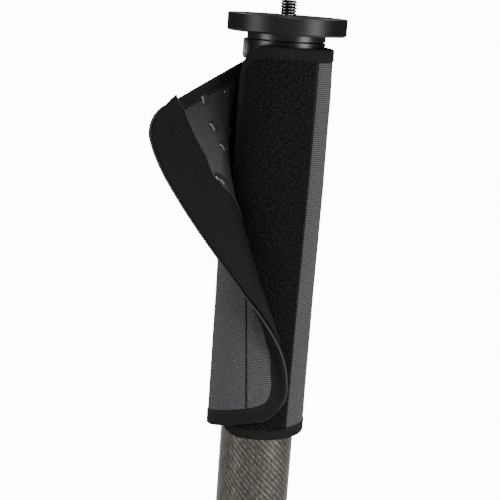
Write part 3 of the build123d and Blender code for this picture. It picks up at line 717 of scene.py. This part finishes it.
def metalMaterial(name, colour, wornColour, roughness, metallic=1.0, wear=0.3, glossBelow=0.0):
    material, tree, shader = newMaterial(name)
    place = objectPlace(tree)
    grain = useGroup(tree, "grain", place, Scale=900.0, Contrast=1.2)
    worn = useGroup(tree, "wear", place, Amount=wear)["Worn"]
    lit = mixColours(tree, worn, mottled(tree, grain["Mottle"], colour, 0.85, 1.15), wornColour)
    rough = rangeOf(tree, grain["Mottle"], roughness * 0.85, roughness * 1.2)
    if glossBelow:
        # the turned neck under this height is smoother and a little brighter
        low = mathNode(tree, "LESS_THAN", splitVector(tree, place)[2], -glossBelow)
        lit = mixColours(tree, low, lit, shadeOf(colour, neckFinish["brighter"]))
        rough = mathNode(tree, "MULTIPLY", rough, rangeOf(tree, low, 1.0, neckFinish["smoother"]))
    setSockets(tree, shader, {"Base Color": lit, "Metallic": metallic, "Roughness": rough})
    addBump(tree, shader, grain["Height"], 0.00002, 0.5)
    return material


# painted shade in the thread's roots: the colour fades to dark below these radii
thread = {"paintedShadeRadius": 0.0039, "paintedShadeFade": 0.0007, "paintedRootShade": 0.06}
ringPitch = 0.00028


def turnedMaterial(name, colour, roughness, threaded=False):
    # bright metal with lathe marks about the axis, or a thread whose roots get painted shade: darker colour
    # towards the root radius
    material, tree, shader = newMaterial(name)
    calc = partial(mathNode, tree)
    place = objectPlace(tree)
    x, y, z = splitVector(tree, place)
    mottle = useGroup(tree, "grain", place, Scale=700.0, Contrast=1.0)["Mottle"]
    bright = mottled(tree, mottle, colour, 0.8, 1.0)
    if threaded:
        # painted shade: the colour darkens from the crests down to the root radius, where shade falls between
        # the turns
        radius = calc("SQRT", calc("ADD", calc("MULTIPLY", x, x), calc("MULTIPLY", y, y)))
        crest = calc("DIVIDE", calc("SUBTRACT", radius, thread["paintedShadeRadius"]), thread["paintedShadeFade"])
        bright = mixColours(tree, clampNode(tree, crest), shadeOf(colour, thread["paintedRootShade"]), bright)
        shader.inputs["Specular Tint"].default_value = (0, 0, 0, 1)
    else:
        addBump(tree, shader, waveOf(tree, z, ringPitch), 0.00001, 0.6)
    rough = rangeOf(tree, mottle, roughness * 0.8, roughness * 1.3)
    setSockets(tree, shader, {"Base Color": bright, "Metallic": 1.0, "Roughness": rough})
    return material


def grainedMaterial(name, colour, shades, roughness, span, scale, contrast, depth):
    material, tree, shader = newMaterial(name)
    grain = useGroup(tree, "grain", objectPlace(tree), Scale=scale, Contrast=contrast)
    setSockets(tree, shader, {
        "Base Color": mottled(tree, grain["Mottle"], colour, *shades),
        "Roughness": rangeOf(tree, grain["Mottle"], roughness, roughness + span),
    })
    addBump(tree, shader, grain["Height"], depth)
    return material


def rubberMaterial(name, colour, roughness=0.62, grain=650.0, depth=0.00005):
    return grainedMaterial(name, colour, (0.7, 1.3), roughness, 0.15, grain, 1.4, depth)


def plasticMaterial(name, colour, roughness):
    return grainedMaterial(name, colour, (0.88, 1.1), roughness, 0.12, 1100.0, 1.0, 0.00002)


def ribbedMaterial(name, dark, light, rib, yarn, wander=0.0001, roughness=0.7, depth=0.00018, sheen=0.0,
                   specular=0.2, lean=0.0):
    material, tree, shader = newMaterial(name)
    place = clothPlace(tree)
    ribs = useGroup(tree, "rib", leaningPlace(tree, place, lean), Rib=rib, Yarn=yarn, Wander=wander)
    grain = useGroup(tree, "grain", place, Scale=500.0, Contrast=1.5)
    base = mottled(tree, grain["Mottle"], light, 0.82, 1.14)
    # painted shade: the colour darkens to the dark shade in the grooves between the ribs
    setSockets(tree, shader, {
        "Base Color": mixColours(tree, mathNode(tree, "POWER", ribs["PaintedGrooveShade"], 1.6), base, dark),
        "Roughness": roughness,
        "Specular IOR Level": specular,
        "Sheen Weight": sheen,
        "Sheen Roughness": 0.4,
    })
    addBump(tree, shader, ribs["Height"], depth)
    return material


carbon = {
    "tow": 0.0009,
    "warp": (0.34, 0.31, 0.27),
    "weft": (0.13, 0.12, 0.105),
    "fibre": (0.42, 0.385, 0.34),
    "shade": (0.02, 0.018, 0.016),
    "roughness": (0.18, 0.26),
}


def carbonMaterial(name, radius):
    material, tree, shader = newMaterial(name)
    calc = partial(mathNode, tree)
    weave = useGroup(tree, "weave", tubePlace(tree, radius), Tow=carbon["tow"])
    grain = useGroup(tree, "grain", objectPlace(tree), Scale=260.0, Contrast=1.2)
    tows = mixColours(tree, weave["Warp"], carbon["weft"], carbon["warp"])
    lit = mixColours(tree, calc("MULTIPLY", weave["Fibre"], 0.35), tows, carbon["fibre"])
    dull = calc("MULTIPLY_ADD", weave["Fleck"], -0.4, calc("MULTIPLY_ADD", grain["Mottle"], 0.3, 0.55))
    setSockets(tree, shader, {
        "Base Color": mixColours(tree, dull, lit, carbon["shade"]),
        "Roughness": rangeOf(tree, weave["Warp"], *carbon["roughness"]),
        "Metallic": 1.0,
    })
    addBump(tree, shader, weave["Height"], 0.000012, 0.8)
    return material


def loopMaterial():
    material, tree, shader = newMaterial("brushedLoop")
    place = clothPlace(tree)
    tufts = useGroup(tree, "grain", place, Scale=760.0, Contrast=1.0)
    sharp = mathNode(tree, "MULTIPLY_ADD", noiseNode(tree, place, 800.0, 3.0, 0.6), 3.4, -1.35)
    setSockets(tree, shader, {
        "Base Color": mixColours(tree, clampNode(tree, sharp), (0.001, 0.001, 0.001), (0.017, 0.017, 0.018)),
        "Roughness": 0.95,
        "Specular IOR Level": 0.15,
        "Sheen Weight": 0.02,
        "Sheen Roughness": 0.5,
    })
    addBump(tree, shader, tufts["Height"], 0.0007)
    return material


def liningMaterial():
    material, tree, shader = newMaterial("coatedLining")
    place = clothPlace(tree)
    ribs = useGroup(tree, "rib", place, Rib=0.0006, Yarn=0.0006, Wander=0.0001)
    grain = useGroup(tree, "grain", place, Scale=220.0, Contrast=1.4)
    coating = mixColours(tree, grain["Mottle"], (0.017, 0.017, 0.019), (0.03, 0.03, 0.034))
    setSockets(tree, shader, {"Base Color": coating, "Roughness": 0.42})
    addBump(tree, shader, ribs["Height"], 0.00003, 0.6)
    return material


def foamMaterial():
    material, tree, shader = newMaterial("closedCellFoam")
    grain = useGroup(tree, "grain", clothPlace(tree), Scale=1800.0, Contrast=2.0)
    cells = mixColours(tree, grain["Mottle"], (0.01, 0.01, 0.01), (0.05, 0.05, 0.05))
    setSockets(tree, shader, {"Base Color": cells, "Roughness": 0.9})
    addBump(tree, shader, grain["Height"], 0.0002)
    return material


tapeLight = (0.017, 0.017, 0.0175)
materials = {
    "anodised": metalMaterial("blackAnodised", (0.055, 0.055, 0.056), (0.14, 0.14, 0.145), 0.36,
                              metallic=0.9, wear=0.25, glossBelow=0.0099),
    "neck": metalMaterial("polishedNeck", (0.1, 0.1, 0.102), (0.14, 0.14, 0.145), 0.31, wear=0.2),
    "locks": metalMaterial("lockAnodised", (0.02, 0.02, 0.022), (0.16, 0.16, 0.165), 0.38,
                           metallic=0.5, wear=0.4),
    "stud": turnedMaterial("turnedSteel", (0.5, 0.485, 0.46), 0.2, threaded=True),
    "spike": turnedMaterial("hardenedSteel", (0.5, 0.5, 0.51), 0.3),
    "brass": turnedMaterial("turnedBrass", (0.62, 0.46, 0.2), 0.3),
    "port": metalMaterial("portAluminium", (0.6, 0.6, 0.61), (0.8, 0.8, 0.82), 0.35, metallic=0.4, wear=0.2),
    "screws": metalMaterial("blackScrew", (0.05, 0.05, 0.052), (0.3, 0.3, 0.3), 0.35, metallic=0.8),
    "grip": rubberMaterial("flutedRubber", (0.018, 0.018, 0.019)),
    "seal": rubberMaterial("sealRubber", (0.012, 0.012, 0.012), 0.45),
    "footRubber": rubberMaterial("footRubber", (0.016, 0.016, 0.016), 0.7),
    "dots": rubberMaterial("glossyDots", (0.028, 0.028, 0.031), 0.06, 900.0, 0.000002),
    "slide": plasticMaterial("slidePlastic", (0.55, 0.54, 0.5), 0.4),
    "plug": plasticMaterial("plugPlastic", (0.02, 0.02, 0.021), 0.5),
    "nylon": ribbedMaterial("ribbedNylon", (0.026, 0.024, 0.027), (0.135, 0.125, 0.138), 0.00111, 0.0006,
                            depth=0.0003, sheen=0.06, specular=0.4),
    "hook": ribbedMaterial("hookTape", (0.004, 0.004, 0.004), tapeLight, 0.001, 0.0009,
                           0.00015, 0.6, 0.0004, lean=0.55),
    "binding": ribbedMaterial("bindingTape", (0.002, 0.002, 0.002), tapeLight, 0.0012, 0.0009,
                              0.0003, 0.7, 0.0003, lean=0.8),
    "thread": rubberMaterial("blackThread", (0.022, 0.022, 0.023), 0.5, 2500.0, 0.00003),
    # painted highlight: the rolled rims are a lighter grey than the black tape, for the light their rounded
    # edges catch
    "rim": ribbedMaterial("rolledRimPaintedHighlight", (0.02, 0.02, 0.021), (0.075, 0.073, 0.076), 0.0006, 0.0006,
                          0.00005, 0.6, 0.0001),
    "loop": loopMaterial(),
    "lining": liningMaterial(),
    "foam": foamMaterial(),
}
print("materials ready")


def paint(piece, material):
    piece.data.materials.clear()
    piece.data.materials.append(materials[material])


def paintNode(name, material):
    piece = nodes[name]
    if not piece.material_slots:
        piece.data.materials.append(materials[material])
    for place in piece.material_slots:
        place.material = materials[material]


plainNodes = {
    "anodised": ["top_plate"],
    "neck": ["head_collar"],
    "locks": ["foot_plug", "foot_ring", "foot_sleeve"],
    "port": ["accessory_port"],
    "brass": ["stud_retainer"],
    "screws": ["plate_set_screws", "collar_grub_screws", "foot_key", "foot_circlip"],
    "spike": ["foot_spike"],
    "footRubber": ["rubber_foot"],
    "grip": [],
    "seal": [],
    "slide": [],
    "plug": [],
}
for step in (1, 2, 3):
    plainNodes["locks"] += [f"lock_ferrule_{step}", f"lock_nut_{step}"]
    plainNodes["grip"].append(f"lock_grip_{step}")
    plainNodes["seal"].append(f"lock_seal_{step}")
    plainNodes["slide"] += [f"lock_collet_{step}", f"leg_bushing_{step + 1}"]
    plainNodes["plug"].append(f"leg_plug_{step + 1}")
for material, names in plainNodes.items():
    for name in names:
        paintNode(name, material)
for name in ("upper_tube", "leg_tube_2", "leg_tube_3", "leg_tube_4"):
    materials[name] = carbonMaterial(f"carbonTwill_{name}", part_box(name)[1].x)
    paintNode(name, name)
print("frame painted")

# Camera stud with a real thread
stud = {
    "radius": 4.7625,
    "root": 3.79,
    "pitch": 1.5875,
    "runIn": 0.5,
    "height": 8.4,
    "tip": 0.9,
    "slotWidth": 1.4,
    "slotDepth": 0.85,
    "cutterLength": 14.0,
    "steps": 96,
    "levels": 170,
}


def makeStud():
    # rings of the thread as a height map over angle, closed with a slotted tip
    steps, levels, runIn = stud["steps"], stud["levels"], stud["runIn"]
    points, faces = [], []
    for level in range(levels + 1):
        height = (stud["height"] + 3 * runIn) * level / levels - 3 * runIn
        for step in range(steps):
            angle = 2 * math.pi * step / steps
            phase = (height / stud["pitch"] - step / steps) % 1
            crest = smoothStep(0.12, 0.82, 1 - abs(2 * phase - 1))
            neck = smoothStep(-2 * runIn, 0.0, height)
            radius = stud["root"] + (stud["radius"] - stud["root"]) * crest * neck
            radius = min(radius, stud["radius"] - stud["tip"] + (stud["height"] - height) * 0.9)
            points.append(Vector((radius * math.cos(angle), radius * math.sin(angle), height)) * mm)
    addRings(faces, 0, levels, steps)
    piece = newPiece("cameraStud", points, faces)
    cutter = bpy.data.meshes.new("slotCutter")
    size = Vector((stud["cutterLength"], stud["slotWidth"], stud["slotDepth"] * 2)) * mm
    work = bmesh.new()
    bmesh.ops.create_cube(work, size=1.0)
    bmesh.ops.scale(work, verts=work.verts, vec=size)
    bmesh.ops.translate(work, verts=work.verts, vec=Vector((0, 0, stud["height"])) * mm)
    work.to_mesh(cutter)
    work.free()
    tool = addObject("slotCutter", cutter)
    cut = piece.modifiers.new("slot", "BOOLEAN")
    cut.object = tool
    cut.operation = "DIFFERENCE"
    bpy.context.view_layer.objects.active = piece
    piece.select_set(True)
    bpy.ops.object.modifier_apply(modifier="slot")
    bpy.data.objects.remove(tool)
    for polygon in piece.data.polygons:
        polygon.use_smooth = len(polygon.vertices) <= 4
    return piece


studPiece = makeStud()
paint(studPiece, "stud")
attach(studPiece, "upper")
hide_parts("camera_stud")
print("stud ready")

# Where the cloth pieces lie: the cloth ends a little under its hem's tape
wrapHems = (wrap["hem"],) * 3
flapHems = (flap["topHem"], flap["edgeHem"], flap["edgeHem"])
wrapInset, flapInset = (tuple(hem - 1.2 for hem in hems) for hems in (wrapHems, flapHems))
stripInset = (-0.3, 0.9, 1.3)
stripStart = 54.0
stripEdge = ((44.0, 8.5), (47.2, 7.6), (52.7, 3.0), (64.3, -0.4), (77.0, -2.8), (87.2, -1.0),
             (98.0, -5.0), (140.0, -5.0))
# painted shadow: the outside binding and its stitches widen along the free edge where the peeled part casts
# shade on the flap
flapPaintedShadowWiden = ((85.0, 0.0), (125.0, 14.0), (150.0, 16.0), (155.0, 14.9), (171.0, 5.9), (188.0, 1.1),
             (200.0, 0.0))
cuts = {}


def panelStop(depth):
    top, bottom = wrap["panelAngles"]
    angle = top + (bottom - top) * (depth - wrap["top"]) / wrap["height"]
    return -math.radians(wrap["hingeAngle"] - angle) * wrap["radius"]


def panelSlant(depth):
    return panelStop(depth) - panelStop(wrap["top"])


def stripSlant(depth):
    # the strip's inner edge swings towards the free edge at the top and away from it lower down
    return curveAt(stripEdge, depth)


def finishCloth(piece, material, slotName, replaced=None, body=None):
    # a piece without a body of its own has its placing baked into its mesh
    paint(piece, material)
    if replaced:
        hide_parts(replaced)
    if body:
        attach(piece, body)
    else:
        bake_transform(piece)


def makeSheets(table, outline, body=None):
    for name, (inset, start, stop, columns, rows, inside, outside, finish, *shape) in table.items():
        piece = sheetPiece(name, outline, inset, start, stop, columns, rows, inside, outside, *shape)
        finishCloth(piece, *finish, body)
        cuts[name] = (outline, inset, start, stop)


# Closed part: inset, start and stop run, grid, inside and outside face, finish, relief and slant
wrapSheets = {
    "wrapLining": (wrapInset, None, seamRun, 90, 60, (0, 0.05), (0, 0.7),
                   ("lining", "lining_fabric", "wrap_lining")),
    "wrapPadding": (wrapInset, None, seamRun, 90, 60, (0, 0.75), (1, -0.8),
                    ("foam", "padding_foam", "wrap_padding")),
    "wrapShell": (wrapInset, None, seamRun, 150, 150, (1, -0.75), (1, 0.0),
                  ("nylon", "shell_nylon", "wrap_shell"), softRelief),
    "loopPanel": (wrapInset, panelStop(wrap["top"]), None, 100, 300, (1, 0.02), (1, 0.3),
                  ("loop", "loop_fabric", "loop_panel"), loopRelief, panelSlant),
}
makeSheets(wrapSheets, wrapOutline, "upper")
tape = tapePiece("wrapBinding", wrapOutline, wrapHems, 0.42, 0.0)
finishCloth(tape, "binding", "binding_tape", "wrap_binding", "upper")

# Woven edge of the loop panel and the rolled rims of the free ends, the rims in a lighter grey as a painted
# highlight on their rounded edges
selvedge = {
    "widths": ((16.0, 3.0), (40.0, 2.6), (66.0, 1.3), (240.0, 1.2)),
    "profile": ((-0.5, 0.3), (-0.46, 0.95), (-0.25, 1.05), (0.25, 0.95), (0.46, 0.6), (0.5, 0.05)),
    "overlap": 0.2,
}
rim = {
    "radius": 0.65,
    "out": 0.35,
    "inward": 0.6,
    "steps": 10,
}


def makeSelvedge():
    places = []
    for depth in spread(wrap["top"] + wrapInset[0], wrapBottom - wrapInset[0], 110):
        half = curveAt(selvedge["widths"], depth) / 2
        places.append(Vector((panelStop(depth) + selvedge["overlap"] - half, depth)))
    return sweepPiece("panelSelvedge", places, selvedge["profile"], 1, selvedge["widths"])


def roundProfile(radius, lift):
    turns = [2 * math.pi * step / rim["steps"] for step in range(rim["steps"])]
    return [(radius * math.cos(turn), lift + radius * math.sin(turn)) for turn in turns]


def makeRim(name, outline, lift=0.0):
    # a roll of cloth round the free end, from one corner to the other
    top, edge, _ = outline
    first, last = len(top) - cornerSteps - 1, len(top) + len(edge) + cornerSteps + 1
    places = insetOutline(outline, (-rim["out"],) * 3)[first:last]
    return sweepPiece(name, places, roundProfile(rim["radius"], lift), 0.5)


finishCloth(makeSelvedge(), "binding", "binding_tape", body="upper")
finishCloth(makeRim("wrapRim", wrapOutline), "rim", "binding_tape", body="upper")
print("closed part ready")

# Flap, in the same order of values as the closed part
flapSheets = {
    "flapLining": (flapInset, seamRun, None, 110, 150, (0, 0.0), (0, 0.45),
                   ("lining", "lining_fabric", "flap_lining")),
    "flapPadding": (flapInset, seamRun, None, 110, 80, (0, 0.5), (1, -0.55),
                    ("foam", "padding_foam", "flap_padding")),
    "flapShell": (flapInset, seamRun, None, 190, 190, (1, -0.5), (1, 0.0),
                  ("nylon", "shell_nylon", "flap_shell"), shellRelief),
    "hookStrip": (stripInset, stripStart, None, 70, 190, (0, -0.75), (0, -0.05),
                  ("hook", "hook_fabric", "hook_strip"), softRelief, stripSlant),
}
makeSheets(flapSheets, flapOutline)
# the black binding is drawn wider on the outside face along the free edge as a painted shadow
tape = tapePiece("flapBinding", flapOutline, flapHems, 0.35, 0.3, flapPaintedShadowWiden)
finishCloth(tape, "binding", "binding_tape", "flap_binding")
finishCloth(makeRim("flapRim", flapOutline, -rim["inward"]), "rim", "binding_tape")


def makeStripRidge():
    # folded inner edge of the hook strip, in the lighter rim cloth as a painted highlight along the fold
    limits, _ = depthLimits(flapOutline, stripInset)
    depths = spread(*(curveAt(limit, stripStart) for limit in limits), 90)[1:-1]
    places = [Vector((stripStart + stripSlant(depth), depth)) for depth in depths]
    return sweepPiece("hookStripRidge", places, roundProfile(rim["radius"] * 0.6, -0.6), 0)


finishCloth(makeStripRidge(), "rim", "binding_tape")
print("flap ready")

# Domed grip dots on the lining
dots = {
    "radius": 3.2,
    "height": 1.1,
    "places": ((23, 45), (41, 48), (38, 62), (36, 72.5), (24, 66), (24, 96), (49.5, 89)),
    "tipRadius": 0.02,
    "rings": 6,
    "steps": 24,
}


def makeDots():
    points, faces = [], []
    rings, steps = dots["rings"], dots["steps"]
    for run, depth in dots["places"]:
        base = len(points)
        for ring in range(rings + 1):
            angle = math.pi / 2 * ring / rings
            out = dots["radius"] * math.cos(angle) if ring < rings else dots["tipRadius"]
            up = dots["height"] * math.sin(angle)
            for step in range(steps):
                turn = 2 * math.pi * step / steps
                points.append(sheetPoint(run + out * math.cos(turn), depth + out * math.sin(turn), 0, -up))
        addRings(faces, base, rings, steps)
    return newPiece("gripDots", points, faces)


dotPiece = makeDots()
paint(dotPiece, "dots")
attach(dotPiece, "flap")
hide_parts("flap_grip_dots")
print("dots ready")


# Stitching
def stitchLine(outline, inset, widen=None):
    return [(point.x, point.y) for point in insetOutline(outline, inset, widen)]


def seamLine():
    (tops, bottoms), _ = depthLimits(flapOutline, flapInset)
    top, bottom = curveAt(tops, seamAt(0)), curveAt(bottoms, seamAt(wrapBottom))
    return [Vector((seamAt(depth), depth)) for depth in spread(top, bottom, 60)]


def hemLine():
    # the top hem's stitches on the flap's inside, as far as the hook strip
    places = stitchLine(flapOutline, (flap["topHem"] - 1.0,) * 3)
    return [place for place in places[:len(flapOutline[0])] if place[0] < stripStart + 4]


wrapStitchLine = stitchLine(wrapOutline, tuple(hem - 1.3 for hem in wrapHems))
flapStitchLine = stitchLine(flapOutline, tuple(hem - 1.3 for hem in flapHems), flapPaintedShadowWiden)
stitches = {
    "wrapStitch": (wrapStitchLine, 1, 0.55, "upper"),
    "panelStitch": ([(panelStop(depth) - 0.9, depth) for depth in range(24, 231, 3)], 1, 1.05, "upper"),
    "flapStitch": (flapStitchLine, 1, 0.45, None),
    "flapHemStitch": (hemLine(), 0, -0.42, None),
}
for name, (places, share, lift, body) in stitches.items():
    finishCloth(stitchPiece(name, places, share, lift), "thread", "binding_tape", body=body)
finishCloth(sweepPiece("flapSeam", seamLine(), roundProfile(0.32, -0.3), 1), "binding", "binding_tape")
print("stitching ready")


# What each soft piece is: a sheet's cut is its outline laid flat
def cutSize(outline, inset, start, stop, around):
    limits, end = depthLimits(outline, inset)
    first, last = sorted((end if run is None else run) for run in (start, stop))
    runs = np.linspace(first, last, 80)
    tops, bottoms = (np.interp(runs, *zip(*limit)) for limit in limits)
    width, length = (last - first) * around * mm, float(bottoms.max() - tops.min()) * mm
    area = width * float(np.mean(bottoms - tops)) * mm
    if start == stripStart:
        # the strip's inner edge slants, which widens the cut and adds the slant's area
        moves = [stripSlant(depth) * mm for depth in np.linspace(tops[0], bottoms[0], 80)]
        width -= min(moves)
        area -= float(np.mean(moves)) * float(bottoms[0] - tops[0]) * mm
    return (width, length), area


liningShare = wrap["tubeSkin"] / wrap["radius"]
sheets = {
    "wrapShell": (1.0, "stretched", "wrapPadding", ("wrapBinding", "wrapRim", "wrapStitch")),
    "wrapLining": (liningShare, "stretched", "upper_tube", ()),
    "loopPanel": (1.0, "laid", "wrapShell", ("panelSelvedge", "panelStitch")),
    "flapShell": (1.0, "hung", "flapPadding", ("flapBinding", "flapRim", "flapStitch", "flapSeam")),
    "flapLining": (1.0, "hung", "flapPadding", ("flapHemStitch",)),
    "hookStrip": (1.0, "laid", "flapLining", ("hookStripRidge",)),
}
for name, (around, held, under, together) in sheets.items():
    flat, area = cutSize(*cuts[name], around)

# Floor and light
studio = {
    "floor": 96.0,
    "floorGap": 0.001,
    "backdrop": 14.0,
    "ambient": 0.06,
    "paintedShadowReach": 0.12,
    "boxPower": 22.0,
    "target": (0, 0, -0.14),
}


def seenBright(tree, plain, bright):
    # shows the backdrop as a blown-out white without letting it flood the object with light
    path = newNode(tree, "LightPath", {})
    return newNode(tree, "MixShader", {"Fac": path.outputs["Is Camera Ray"], 1: plain, 2: bright}).outputs[0]


def makeFloor():
    mesh = bpy.data.meshes.new("studioFloor")
    half, low = studio["floor"] / 2, cadBounds[0].z - studio["floorGap"]
    corners = ((-half, -half), (half, -half), (half, half), (-half, half))
    mesh.from_pydata([(x, y, low) for x, y in corners], [], [(0, 1, 2, 3)])
    floor = addObject("studioFloor", mesh)
    material, tree, shader = newMaterial("paleFloor")
    grain = useGroup(tree, "grain", objectPlace(tree), Scale=40.0, Contrast=0.05)
    pale = mixColours(tree, grain["Mottle"], (0.78, 0.78, 0.78), (0.82, 0.82, 0.82))
    setSockets(tree, shader, {"Base Color": pale, "Roughness": 0.9})
    # painted contact shadow: the floor's glow dims by ambient occlusion where the object comes close
    shade = newNode(tree, "AmbientOcclusion", {"Distance": studio["paintedShadowReach"]}).outputs["AO"]
    power = mathNode(tree, "MULTIPLY", mathNode(tree, "POWER", shade, 3.0), studio["backdrop"])
    glow = newNode(tree, "Emission", {"Strength": power})
    seen = seenBright(tree, shader.outputs[0], glow.outputs[0])
    tree.links.new(seen, tree.nodes["Material Output"].inputs["Surface"])
    mesh.materials.append(material)


def makeBackdrop():
    world = bpy.data.worlds.new("studioWorld")
    bpy.context.scene.world = world
    world.use_nodes = True
    tree = world.node_tree
    dim = tree.nodes["Background"]
    setSockets(tree, dim, {"Color": (1, 1, 1, 1), "Strength": studio["ambient"]})
    bright = newNode(tree, "Background", {"Color": (1, 1, 1, 1), "Strength": studio["backdrop"]})
    seen = seenBright(tree, dim.outputs[0], bright.outputs[0])
    tree.links.new(seen, tree.nodes["World Output"].inputs["Surface"])


def addLight(name, place, size, power):
    data = bpy.data.lights.new(name, "AREA")
    data.shape = "RECTANGLE"
    data.size, data.size_y = size
    data.energy = power
    light = addObject(name, data)
    light.location = place
    aim = Vector(studio["target"]) - Vector(place)
    light.rotation_euler = aim.to_track_quat("-Z", "Y").to_euler()
    light.visible_camera = False


# Softboxes at both sides of the viewer with a dark front between them, and weaker ones high up
boxes = {
    "leftBox": ((-1.15, -0.62, 0.05), (0.6, 1.6), 0.32),
    "rightBox": ((1.05, -0.72, 0.1), (0.6, 1.6), 0.5),
    "frontBox": ((0.35, -1.3, 1.05), (0.9, 0.6), 0.75),
    "backLeftBox": ((-0.8, 0.9, 1.2), (0.7, 0.7), 0.5),
    "backRightBox": ((0.8, 0.9, 1.2), (0.7, 0.7), 0.5),
}
makeFloor()
makeBackdrop()
for name, (place, size, share) in boxes.items():
    addLight(name, place, size, share * studio["boxPower"])
print("studio ready")
